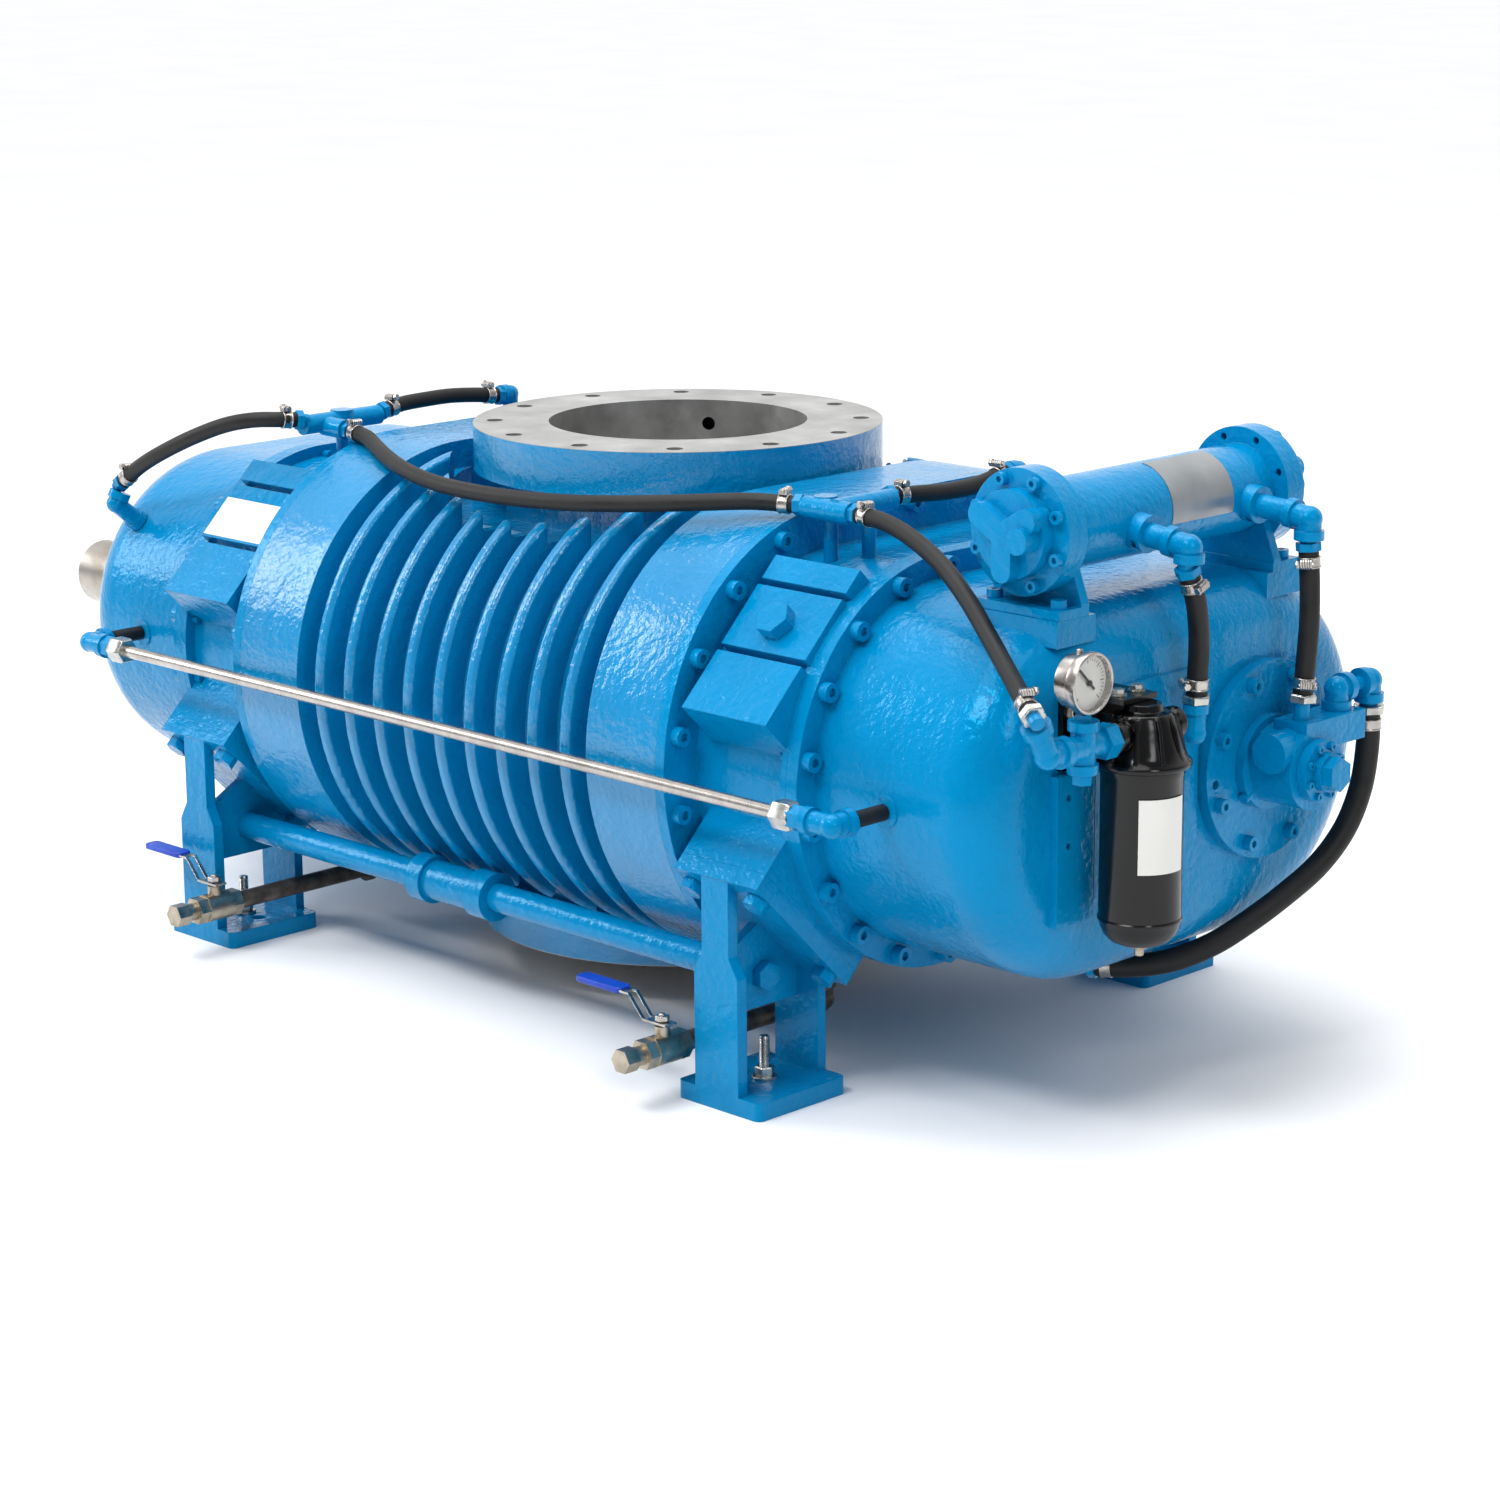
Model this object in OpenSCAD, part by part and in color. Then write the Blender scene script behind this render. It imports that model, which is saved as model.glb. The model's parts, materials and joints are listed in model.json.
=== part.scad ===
// Twin-rotor positive-displacement supercharger (rotary lobe blower) with its own
// oil circuit: pump, cooler, filter, manifolds, hoses, side tube and drain valves.
// X runs along the shafts towards the gear end, Y across the two rotors, Z up.
// The origin is on the floor, midway between the four foundation bolt holes.

/* [Casing] */
// Half of the distance between the two shafts
cy = 123; // [120:1:126]
// Height of both shafts above the foot soles
zc = 350; // [346:1:354]
// Half of the casing's length between its end joints
casing_l = 358; // [354:1:362]
// Radius of the end bands and of the fin crests
band_r = 262; // [258:1:266]
// Radius of the casing between the fins
root_r = 228; // [222:1:234]
// Inner end of each end band
band_x = 250; // [246:1:252]
// Distance between fins
fin_pitch = 53; // [52:0.5:53]
// Thickness of a fin
fin_t = 16; // [12:1:20]

/* [Duct flanges] */
// Outer radius of the inlet and outlet flanges
flange_r = 241.5; // [236:0.5:242]
// Radius of the inlet and outlet ducts
duct_r = 152.5; // [148:0.5:154]
// Height of a flange face above and below the shaft plane
flange_z = 300; // [296:1:304]
// Thickness of a flange
flange_t = 54; // [46:1:56]
// Bolt circle diameter of a flange
flange_pcd = 432; // [428:1:434]
// Number of bolt holes in a flange
flange_n = 12; // [12]
// Radius of a tapped flange hole
flange_hole_r = 9.7; // [8:0.1:11]

/* [Rotors and shafts] */
// Number of lobes on a rotor
lobes = 2; // [2]
// Clearance taken off each rotor profile
rotor_gap = 0.4; // [0.3:0.05:0.6]
// Radius of the rotor chambers
bore_r = 185; // [185:0.5:186]
// Radius of a shaft inside its rotor
shaft_r = 50; // [46:1:52]
// Radius of the drive end of the input shaft
stub_r = 42.5; // [40:0.5:44]
// Where the input shaft ends
stub_x = -1000; // [-1020:1:-980]
// Module of the timing gears
gear_m = 6; // [6]
// Teeth on a timing gear
gear_z = 41; // [41]

/* [End plates and covers] */
// Radius of the end plate body
plate_r = 214; // [208:1:218]
// Outer end of each end plate
plate_x = 519; // [516:1:522]
// Radius of the cover flange
rim_r = 228; // [226:1:232]
// Radius of the gear and drive covers
cover_r = 202; // [198:1:205]
// Front face of the gear cover
gear_x = 771; // [768:1:774]
// Front face of the drive cover
drive_x = 768; // [764:1:770]
// Wall of the covers
wall = 12; // [9:1:14]
// Corner radius of the covers
corner = 60; // [50:1:70]

/* [Feet] */
// Distance of the 45 degree foot pads from the shaft axes
pad_n = 235; // [233:1:237]
// Inner end of a foot and of its pad
foot_x0 = 391; // [389:1:395]
// Outer end of a foot and of its pad
foot_x1 = 515; // [511:1:517]
// Outer side of a foot
foot_y0 = 389; // [387:1:391]
// Inner side of a foot
foot_y1 = 255; // [253:1:257]
// Distance of the foundation holes from the middle, along X
anchor_x = 424; // [423:1:426]
// Distance of the foundation holes from the middle, along Y
anchor_y = 322; // [318:1:326]
// Radius of a foundation hole
anchor_r = 9; // [7:0.5:10]

/* [Oil circuit] */
// Height of the cooler's axis
cooler_z = 632; // [630:1:634]
// Place of the cooler's axis along X
cooler_x = 705; // [703:1:707]
// Radius of the cooler's shell
cooler_r = 48; // [46:1:50]
// Radius of the small hoses
hose_r = 9.5; // [9:0.5:10]
// Radius of the cooler hoses
cooler_hose_r = 11; // [10:0.5:11]
// Radius of the pump's suction hose
suction_r = 13; // [12:0.5:13]
// Place of the filter's axis along X
filter_x = 838; // [836:1:840]
// Place of the filter's axis along Y
filter_y = -160; // [-162:1:-158]
// Radius of the filter bowl
filter_r = 43; // [41:1:44]

/* [Hidden] */
$fn = 96;

blue = [0.05, 0.47, 0.72];
steel = [0.72, 0.73, 0.74];
dark_steel = [0.3, 0.3, 0.32];
rubber = [0.12, 0.12, 0.13];
black = [0.05, 0.05, 0.06];
brass = [0.75, 0.68, 0.5];
royal = [0.08, 0.2, 0.6];
white = [0.93, 0.93, 0.92];

fin_round = 6;
fin_cut_r = 272;
fin_cut_z = 196;
neck_r = 205;
chamber_end = 357.5;
ring_x = casing_l + 14;
foot_t1 = 68;
screw_r = 6;
row_a_r = 246;
row_b_r = 215;
screw_angles = [-90, -70, -50, -30, -10, 10, 30, 50, 70, 90];
bearing_x0 = 440;
bearing_x1 = 496;
bearing_r = 90;
journal_r = 45;
seal_r = 60;
seal_gap = 0.06;
gear_x0 = 560;
gear_x1 = 630;
gear_seat_r = 42;
seal_seat_r = 44;
stub_end = -790;
gear_key = 6;
pump_y = cy;
idler_y = cy - 28;
pump_gear_m = 2;
pump_gear_z = 14;
pump_gear_x0 = 815;
pump_gear_x1 = 840;
plate_face = gear_x + 14;
drain_x = 392;
drain_z = 60;
drain_r = 10.7;
riser_y = -165;
valve_y = -411;
tie_y = 320;
tie_z = 135;
tie_r = 16.85;
coupling_r = 28.5;
side_y = -404;
side_r = 7.5;
gauge_c = [850, -258, 507];
cross_c = [filter_x, -254, 440];
saddle_z = 548;
bracket_z = [412, 456];
saddle_x = [664, 750];
saddle_y = [-190, 180];

// Routes of the hoses, from fitting to fitting
drive_cover_route = [
    [-430, -232, 630], [-436, -252, 632], [-462, -274, 631], [-500, -288, 622],
    [-550, -299, 603], [-605, -305, 579], [-650, -306, 557], [-688, -305, 534]
];
drive_bearing_route = [
    [-430, -92, 626], [-434, -60, 630], [-436, -20, 631], [-436, 20, 631],
    [-433, 60, 628], [-430, 92, 624]
];
crossover_route = [
    [-378, -187, 616], [-340, -195, 614], [-300, -212, 608], [-250, -234, 602],
    [-190, -254, 596], [-120, -268, 592], [-40, -275, 592], [40, -277, 595],
    [120, -273, 600], [200, -258, 607], [270, -236, 614], [330, -208, 619],
    [378, -190, 619]
];
filter_feed_route = [
    [468, -185, 618], [510, -190, 616], [560, -201, 606], [615, -217, 588],
    [670, -239, 563], [725, -266, 534], [775, -295, 512], [812, -320, 500],
    [836, -332, 488]
];
gear_bearing_route = [
    [430, -92, 622], [434, -55, 620], [435, -10, 617], [434, 35, 617],
    [432, 70, 621], [430, 92, 624]
];
cooler_return_route = [
    [818, -66, 584], [818, -54, 556], [814, -43, 528], [809, -35, 500],
    [805, -31, 474], [803, -30, 450]
];
cooler_feed_route = [
    [830, 121, 584], [832, 122, 550], [833, 122, 510], [832, 120, 470], [830, 118, 430]
];
pump_suction_route = [
    [829, 240, 388], [829, 240, 350], [829, 230, 305], [824, 210, 262],
    [814, 178, 226], [800, 138, 198], [782, 98, 172], [760, 62, 149],
    [730, 30, 132], [695, 5, 124], [660, -12, 122]
];

// A cylinder along X, along Y, and between any two points
module xcyl(r, x0, x1, y = 0, z = 0) {
    translate([x0, y, z]) rotate([0, 90, 0]) cylinder(r = r, h = x1 - x0);
}
module ycyl(r, y0, y1, x = 0, z = 0) {
    translate([x, y0, z]) rotate([-90, 0, 0]) cylinder(r = r, h = y1 - y0);
}
module zcyl(r, z0, z1, x = 0, y = 0) {
    translate([x, y, z0]) cylinder(r = r, h = z1 - z0);
}
module aim(a, b) {
    d = b - a;
    translate(a) rotate([0, acos(d.z / norm(d)), atan2(d.y, d.x)]) children();
}
module seg(a, b, r, fn = 48) {
    aim(a, b) cylinder(r = r, h = norm(b - a), $fn = fn);
}
module block(a, b) {
    translate(a) cube(b - a);
}

// A shape drawn in (Y, Z) and extruded along X
module yz(x0, x1) {
    translate([x0, 0, 0]) rotate([90, 0, 90]) linear_extrude(x1 - x0) children();
}
// A shape drawn in (X, Z) and extruded along Y
module xz(y0, y1) {
    translate([0, y1, 0]) rotate([90, 0, 0]) linear_extrude(y1 - y0) children();
}

// The outline that both rotors share: two round ends joined by flats
module stadium(r, x0, x1) {
    xcyl(r, x0, x1, cy, zc);
    xcyl(r, x0, x1, -cy, zc);
    block([x0, -cy, zc - r], [x1, cy, zc + r]);
}
// A profile drawn in (radius, X) swept round the same outline
module sweep_stadium() {
    for (s = [-1, 1])
        translate([0, s * cy, zc]) rotate([0, 90, 0]) rotate_extrude() children();
    translate([0, -cy, zc]) rotate([90, 0, 90]) rotate([90, 0, 90])
        linear_extrude(2 * cy) {
            children();
            mirror([1, 0]) children();
        }
}
module dome_profile(x0, x1, r, f) {
    translate([0, x0]) square([r, x1 - f - x0]);
    translate([0, x0]) square([r - f, x1 - x0]);
    translate([r - f, x1 - f]) circle(f);
}
module mirror_x(on) {
    if (on) mirror([1, 0, 0]) children();
    else children();
}
module mirror_y(on) {
    if (on) mirror([0, 1, 0]) children();
    else children();
}
// The frame of a 45 degree pad: X along the shafts, then tangent, then outward normal
module pad_frame(lower) {
    translate([0, -cy, zc]) rotate([lower ? 135 : 45, 0, 0]) children();
}

function unit2(a) = [cos(a), sin(a)];
function ring_points(r) = concat(
    [for (s = [-1, 1]) for (a = screw_angles) [s * (cy + r * cos(a)), zc + r * sin(a)]],
    [[0, zc + r], [0, zc - r]]
);

// Casing --------------------------------------------------------------------
module fin_profile(x) {
    translate([0, x - fin_t / 2]) square([band_r - fin_round, fin_t]);
    translate([0, x - fin_t / 2 + fin_round]) square([band_r, fin_t - 2 * fin_round]);
    for (s = [-1, 1])
        translate([band_r - fin_round, x + s * (fin_t / 2 - fin_round)]) circle(fin_round);
}
module duct_flange(s) {
    z0 = zc + s * (flange_z - flange_t);
    z1 = zc + s * flange_z;
    zcyl(flange_r, min(z0, z1), max(z0, z1));
    zcyl(neck_r, zc + min(0, s * flange_z), zc + max(0, s * flange_z));
}
module casing() {
    color(blue) difference() {
        union() {
            difference() {
                union() {
                    stadium(root_r, -band_x, band_x);
                    for (i = [-4:4]) sweep_stadium() fin_profile(i * fin_pitch);
                }
                for (s = [-1, 1])
                    zcyl(fin_cut_r, zc + min(s * fin_cut_z, s * 290), zc + max(s * fin_cut_z, s * 290));
            }
            stadium(root_r - 32, -band_x, band_x);
            for (s = [-1, 1]) {
                stadium(band_r, min(s * band_x, s * casing_l), max(s * band_x, s * casing_l));
                duct_flange(s);
            }
        }
        for (s = [-1, 1]) {
            xcyl(bore_r, -casing_l - 1, casing_l + 1, s * cy, zc);
            zcyl(duct_r, zc + min(s * 110, s * 310), zc + max(s * 110, s * 310));
            for (i = [0:flange_n - 1]) rotate([0, 0, 15 + i * 360 / flange_n])
                translate([flange_pcd / 2, 0, zc + s * flange_z])
                    cylinder(r = flange_hole_r, h = 72, center = true);
            for (p = ring_points(row_a_r))
                xcyl(screw_r, s > 0 ? casing_l - 20 : -casing_l - 1, s > 0 ? casing_l + 1 : -casing_l + 20,
                    p.x, p.y);
        }
        rotate([0, 0, 122]) translate([0, 0, zc + 271]) rotate([0, 90, 0]) cylinder(r = 8, h = 175);
    }
}

// End plates ----------------------------------------------------------------
// The upper pads carry two grooves
module upper_pad() {
    pad_frame(false) difference() {
        translate([foot_x0, -123, 120]) cube([foot_x1 - foot_x0, 202, pad_n - 120]);
        for (t = [-47, 40])
            translate([foot_x0 - 1, t, pad_n - 16]) cube([foot_x1 - foot_x0 + 2, 8, 40]);
    }
}
// Where a plug screws into an upper pad
module at_plug() {
    for (n = [false, true]) mirror_y(n) pad_frame(false) translate([453, -4, pad_n]) children();
}
// The lower pads take the feet; drawn above the shafts, then mirrored down
module lower_pad() {
    translate([0, 0, 2 * zc]) mirror([0, 0, 1]) pad_frame(false) difference() {
        translate([foot_x0, -123, 120]) cube([foot_x1 - foot_x0, 191, pad_n - 120]);
        for (x = [406, 500]) for (t = [-98, 46])
            translate([x, t, pad_n - 30]) cylinder(r = 8, h = 31);
    }
}
module end_plate() {
    difference() {
        union() {
            stadium(band_r, casing_l, ring_x);
            stadium(plate_r, casing_l, plate_x);
            for (f = [false, true]) mirror_y(f) {
                upper_pad();
                lower_pad();
            }
            stadium(rim_r, plate_x - 8, plate_x);
        }
        for (s = [-1, 1]) {
            xcyl(seal_r, casing_l - 1, bearing_x0 + 1, s * cy, zc);
            xcyl(bearing_r, bearing_x0 - 6, plate_x + 1, s * cy, zc);
        }
        for (p = ring_points(row_a_r)) xcyl(screw_r, casing_l - 1, ring_x + 1, p.x, p.y);
        for (p = ring_points(row_b_r)) xcyl(screw_r, plate_x - 20, plate_x + 1, p.x, p.y);
    }
}
module gear_end_plate() {
    color(blue) difference() {
        end_plate();
        at_plug() translate([0, 0, -20]) cylinder(r = 15, h = 21);
        zcyl(8, 540, 575, 410, -168);
        zcyl(8, 540, 575, 440, -140);
        zcyl(8, 540, 575, 430, 116);
        zcyl(drain_r, 126, 170, drain_x, riser_y);
    }
}
module drive_end_plate() {
    color(blue) difference() {
        mirror([1, 0, 0]) end_plate();
        zcyl(8, 540, 575, -430, -160);
        zcyl(8, 540, 575, -430, 116);
        zcyl(drain_r, 126, 170, -drain_x, riser_y);
    }
}

// Covers --------------------------------------------------------------------
module cover(x1) {
    difference() {
        union() {
            sweep_stadium() dome_profile(plate_x + 4, x1, cover_r, corner);
            stadium(rim_r, plate_x, plate_x + 16);
            for (f = [false, true]) mirror_y(f) side_boss();
        }
        sweep_stadium() dome_profile(plate_x - 1, x1 - wall, cover_r - wall, corner - wall);
        for (p = ring_points(row_b_r)) xcyl(screw_r, plate_x - 1, plate_x + 17, p.x, p.y);
    }
}
// A round boss on the cover's side for an oil connection
module side_boss() {
    ycyl(17, -cy - cover_r - 2, -cy - cover_r + 12, 636, zc);
}
module gear_cover() {
    color(blue) difference() {
        union() {
            cover(gear_x);
            yz(gear_x - 12, gear_x + 10) translate([-224, 232]) square([58, 160]);
            yz(gear_x - 12, gear_x + 4) translate([-158, 250]) square([170, 219]);
            for (s = [-1, 1])
                block([650, s > 0 ? 138 : -208, 520], [764, s > 0 ? 198 : -148, saddle_z]);
        }
        for (y = [-209, 137]) block([649, y, saddle_z], [765, y + 62, saddle_z + 12]);
        xcyl(80, gear_x - wall - 20, gear_x + 20, cy, zc);
        xcyl(110, gear_x, gear_x + 20, cy, zc);
        for (p = inspection_points()) xcyl(5, gear_x - wall - 6, gear_x + 1, p.x, p.y);
        for (z = [317, 368]) xcyl(4, gear_x - 8, gear_x + 11, -206, z);
        for (z = bracket_z) for (y = [-182, -200]) xcyl(3.5, gear_x - 8, gear_x + 1, y, z);
        for (x = saddle_x) for (y = saddle_y) zcyl(5, saddle_z - 20, saddle_z + 1, x, y);
        xcyl(9, gear_x - 30, gear_x + 20, -30, 408);
        ycyl(7, -cy - cover_r - 3, -cy - cover_r + 30, 636, zc);
        zcyl(11, 140, 175, 622, -14);
    }
}
module drive_cover() {
    color(blue) difference() {
        mirror([1, 0, 0]) cover(drive_x);
        xcyl(seal_r, -drive_x - 20, -drive_x + 40, -cy, zc);
        ycyl(7, -cy - cover_r - 3, -cy - cover_r + 30, -636, zc);
        seg([-695, -266, 466], [-695, -284, 480.6], 8);
    }
}

// Screws --------------------------------------------------------------------
module cap_screw(r, head_r, head_h, shank) {
    difference() {
        cylinder(r = head_r, h = head_h);
        translate([0, 0, head_h - 0.45 * head_h]) cylinder(r = head_r * 0.5, h = head_h, $fn = 6);
    }
    translate([0, 0, -shank]) cylinder(r = r, h = shank + 0.5);
}
module casing_screws() {
    color(blue) for (m = [false, true]) mirror_x(m) {
        for (p = ring_points(row_a_r)) translate([ring_x, p.x, p.y]) rotate([0, 90, 0])
            cap_screw(screw_r, 10.5, 12, 32);
        for (p = ring_points(row_b_r)) translate([plate_x + 16, p.x, p.y]) rotate([0, 90, 0])
            cap_screw(screw_r, 10.5, 12, 34);
    }
}
function inspection_points() = [
    for (i = [0:7]) [cy + 94 * cos(22.5 + i * 45), zc + 94 * sin(22.5 + i * 45)]
];
function cooler_screw_points() = [
    for (i = [0:7]) [cooler_x + 57 * cos(22.5 + i * 45), cooler_z + 57 * sin(22.5 + i * 45)]
];
function pump_end_points() = [
    for (i = [0:7]) [cy - 6 + 28 * cos(22.5 + i * 45), zc + 28 * sin(22.5 + i * 45)]
];
module small_screws() {
    color(blue) {
        for (p = inspection_points()) translate([plate_face, p.x, p.y]) rotate([0, 90, 0])
            cap_screw(5, 8.5, 10, 26);
        for (p = cooler_screw_points()) {
            translate([p.x, -200, p.y]) rotate([90, 0, 0]) cap_screw(4, 7, 8, 14);
            translate([p.x, 190, p.y]) rotate([-90, 0, 0]) cap_screw(4, 7, 8, 14);
        }
        for (p = pump_end_points()) translate([862, p.x, p.y]) rotate([0, 90, 0])
            cap_screw(2.5, 4.5, 4, 11);
        for (x = saddle_x) for (y = saddle_y) translate([x, y, saddle_z + 10])
            cap_screw(5, 8.5, 9, 20);
    }
}

// Feet ----------------------------------------------------------------------
module foot() {
    difference() {
        union() {
            rounded_sole();
            pad_frame(true) translate([foot_x0, -foot_t1, pad_n])
                cube([foot_x1 - foot_x0, foot_t1 + 123, 20]);
            intersection() {
                union() {
                    xz(-foot_y0, -foot_y0 + 14) leg_outline(270);
                    xz(-foot_y1 - 12, -foot_y1) leg_outline(150);
                }
                yz(foot_x0, foot_x1) polygon([
                    [-foot_y0 - 1, 0], [-foot_y1 + 1, 0], [-foot_y1 + 1, 121],
                    [-foot_y0 - 1, 121 + foot_y0 - foot_y1 + 2]
                ]);
            }
            yz(440, 452) polygon([
                [-foot_y0 + 10, 100], [-foot_y0 + 10, 164], [-322, 196], [-316, 196],
                [-foot_y1 - 6, 130], [-foot_y1 - 6, 100]
            ]);
        }
        for (x = [406, 500]) for (t = [98, -46]) pad_frame(true) translate([x, t, pad_n - 1])
            cylinder(r = 8, h = 22);
        zcyl(anchor_r, -1, 21, anchor_x, -anchor_y);
        zcyl(6, -1, 21, 455, -tie_y);
        xcyl(8, 439, 453, -tie_y, tie_z);
    }
}
module rounded_sole() {
    f = 8;
    block([foot_x0 + f, -foot_y0, 0], [foot_x1 - f, -foot_y1, 20]);
    block([foot_x0, -foot_y0 + f, 0], [foot_x1, -foot_y1 - f, 20]);
    for (x = [foot_x0 + f, foot_x1 - f]) for (y = [-foot_y0 + f, -foot_y1 - f])
        zcyl(f, 0, 20, x, y);
}
module leg_outline(top) {
    polygon([
        [419, 10], [484, 10], [484, 150], [471, 172], [471, top], [431, top], [431, 172],
        [419, 150]
    ]);
}
module foot_near_gear() {
    color(blue) foot();
}
module foot_near_drive() {
    color(blue) mirror([1, 0, 0]) foot();
}
module foot_far_gear() {
    color(blue) mirror([0, 1, 0]) foot();
}
module foot_far_drive() {
    color(blue) mirror([1, 0, 0]) mirror([0, 1, 0]) foot();
}
module each_corner() {
    for (m = [false, true]) for (n = [false, true]) mirror_x(m) mirror_y(n) children();
}
module foot_bolts() {
    color(blue) each_corner() {
        for (x = [406, 500]) for (t = [98, -46]) pad_frame(true) translate([x, t, 0]) {
            translate([0, 0, pad_n - 24]) cylinder(r = 8, h = 45);
            translate([0, 0, pad_n + 20]) cylinder(r = 13.5, h = 12, $fn = 6);
        }
        xcyl(16.5, 452, 464, -tie_y, tie_z, $fn = 6);
        xcyl(8, 436, 453, -tie_y, tie_z);
    }
}
module levelling_screws() {
    color(steel) each_corner() {
        zcyl(6, 1, 68, 455, -tie_y);
        difference() {
            union() {
                zcyl(14, 20, 23, 455, -tie_y);
                zcyl(10.4, 23, 33, 455, -tie_y, $fn = 6);
            }
            zcyl(6, 19, 34, 455, -tie_y);
        }
    }
}
module tie_tubes() {
    color(blue) for (n = [false, true]) mirror_y(n) {
        difference() {
            xcyl(tie_r, -440, -80, -tie_y, tie_z);
            xcyl(8, -441, -430, -tie_y, tie_z);
        }
        difference() {
            xcyl(tie_r, -10, 440, -tie_y, tie_z);
            xcyl(8, 430, 441, -tie_y, tie_z);
        }
    }
}
module tie_couplings() {
    color(blue) for (n = [false, true]) mirror_y(n) difference() {
        union() {
            xcyl(coupling_r, -108, -84, -tie_y, tie_z);
            xcyl(23.5, -84, 0, -tie_y, tie_z);
            xcyl(coupling_r, -6, 24, -tie_y, tie_z);
        }
        xcyl(tie_r, -109, -79, -tie_y, tie_z);
        xcyl(tie_r, -11, 25, -tie_y, tie_z);
    }
}
module hex_plugs() {
    color(blue) at_plug() {
        translate([0, 0, -18]) cylinder(r = 15, h = 19);
        cylinder(r = 21, h = 16, $fn = 6);
    }
}

// Inspection plate and oil pump ---------------------------------------------
module inspection_plate() {
    color(blue) difference() {
        union() {
            xcyl(109, gear_x, plate_face, cy, zc);
            xcyl(79.9, gear_x - wall, gear_x + 1, cy, zc);
        }
        xcyl(24, gear_x - wall - 1, plate_face + 1, cy, zc);
        for (p = inspection_points()) xcyl(5, gear_x - 1, plate_face + 1, p.x, p.y);
        xcyl(5, gear_x + 2, plate_face + 1, 30, 338);
    }
}
module pump_body() {
    color(blue) difference() {
        union() {
            xcyl(23.9, gear_x - 8, plate_face + 1, cy, zc);
            xcyl(52, plate_face, plate_face + 11, cy - 8, zc);
            xcyl(44, plate_face, 850, cy - 6, zc);
            block([806, 100, 370], [850, 205, 402]);
            ycyl(22, 66, 110, 826, zc + 22);
            seg([plate_face + 6, 70, 315], [plate_face + 6, 110, 340], 6);
        }
        xcyl(10.06, gear_x - 10, pump_gear_x0 + 1, pump_y, zc);
        xcyl(8.06, pump_gear_x0 - 12, pump_gear_x0 + 1, idler_y, zc);
        xcyl(16.1, pump_gear_x0, pump_gear_x1 + 0.2, pump_y, zc);
        xcyl(16.1, pump_gear_x0, pump_gear_x1 + 0.2, idler_y, zc);
        xcyl(8.06, pump_gear_x1, 851, pump_y, zc);
        xcyl(8.06, pump_gear_x1, 851, idler_y, zc);
        for (p = pump_end_points()) xcyl(2.5, 842, 851, p.x, p.y);
        zcyl(9, 372, 403, 830, 117);
        zcyl(9, 372, 403, 828, 182);
    }
}
module pump_end_cover() {
    color(blue) difference() {
        union() {
            xcyl(34, 850, 862, cy - 6, zc);
            xcyl(21, 862, 872, cy - 6, zc);
            xcyl(19, 872, 884, cy - 6, zc, $fn = 6);
        }
        xcyl(8.06, 849, 856, pump_y, zc);
        xcyl(8.06, 849, 856, idler_y, zc);
        for (p = pump_end_points()) xcyl(2.5, 849, 863, p.x, p.y);
    }
}
// One gear tooth's half angle at radius r, for base radius rb
function inv(a) = tan(a) * 180 / PI - a;
function half_angle(r, rb, z, slack) = 90 / z - slack + inv(20) - inv(acos(min(1, rb / r)));
function gear_points(m, z, add, slack) = let (
    rp = m * z / 2,
    rb = rp * cos(20),
    rr = rp - 1.25 * m,
    rs = [max(rb, rr) * 1.003, rp, rp + 0.55 * add * m, rp + add * m],
    low = half_angle(rs[0], rb, z, slack)
) [
    for (i = [0:z - 1]) let (c = i * 360 / z) each concat(
        [rr * [cos(c - low), sin(c - low)]],
        [for (r = rs) let (h = half_angle(r, rb, z, slack)) r * [cos(c - h), sin(c - h)]],
        [for (k = [3:-1:0]) let (r = rs[k], h = half_angle(r, rb, z, slack))
            r * [cos(c + h), sin(c + h)]],
        [rr * [cos(c + low), sin(c + low)]]
    )
];
module pump_drive_gear() {
    color(steel) {
        yz(pump_gear_x0 + 0.1, pump_gear_x1 - 0.1) translate([pump_y, zc])
            polygon(gear_points(pump_gear_m, pump_gear_z, 0.8, 0.9));
        xcyl(10, 701, pump_gear_x0 + 0.2, pump_y, zc);
        xcyl(8, pump_gear_x1 - 0.2, 855, pump_y, zc);
    }
}
module pump_idler_gear() {
    color(steel) {
        yz(pump_gear_x0 + 0.1, pump_gear_x1 - 0.1) translate([idler_y, zc])
            rotate(180 / pump_gear_z) polygon(gear_points(pump_gear_m, pump_gear_z, 0.8, 0.9));
        xcyl(8, pump_gear_x0 - 11, pump_gear_x0 + 0.2, idler_y, zc);
        xcyl(8, pump_gear_x1 - 0.2, 855, idler_y, zc);
    }
}

// Oil filter and gauge -------------------------------------------------------
module filter_bowl() {
    color(black) {
        zcyl(filter_r, 240, 406, filter_x, filter_y);
        translate([filter_x, filter_y, 240]) intersection() {
            sphere(filter_r);
            translate([0, 0, -24]) cylinder(r = filter_r, h = 24);
        }
        zcyl(9, 206, 222, filter_x, filter_y, $fn = 6);
    }
}
module filter_head() {
    color(black) difference() {
        union() {
            zcyl(49, 406, 418, filter_x, filter_y);
            translate([filter_x, filter_y, 418]) cylinder(r1 = 46, r2 = 30, h = 42);
            zcyl(20, 460, 470, filter_x, filter_y);
            ycyl(17, filter_y - 52, filter_y, filter_x, 440);
            ycyl(17, filter_y, filter_y + 50, filter_x, 440);
            block([798, filter_y - 26, 424], [filter_x, filter_y + 26, 458]);
        }
        ycyl(10, filter_y - 53, filter_y - 30, filter_x, 440);
    }
}
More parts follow.
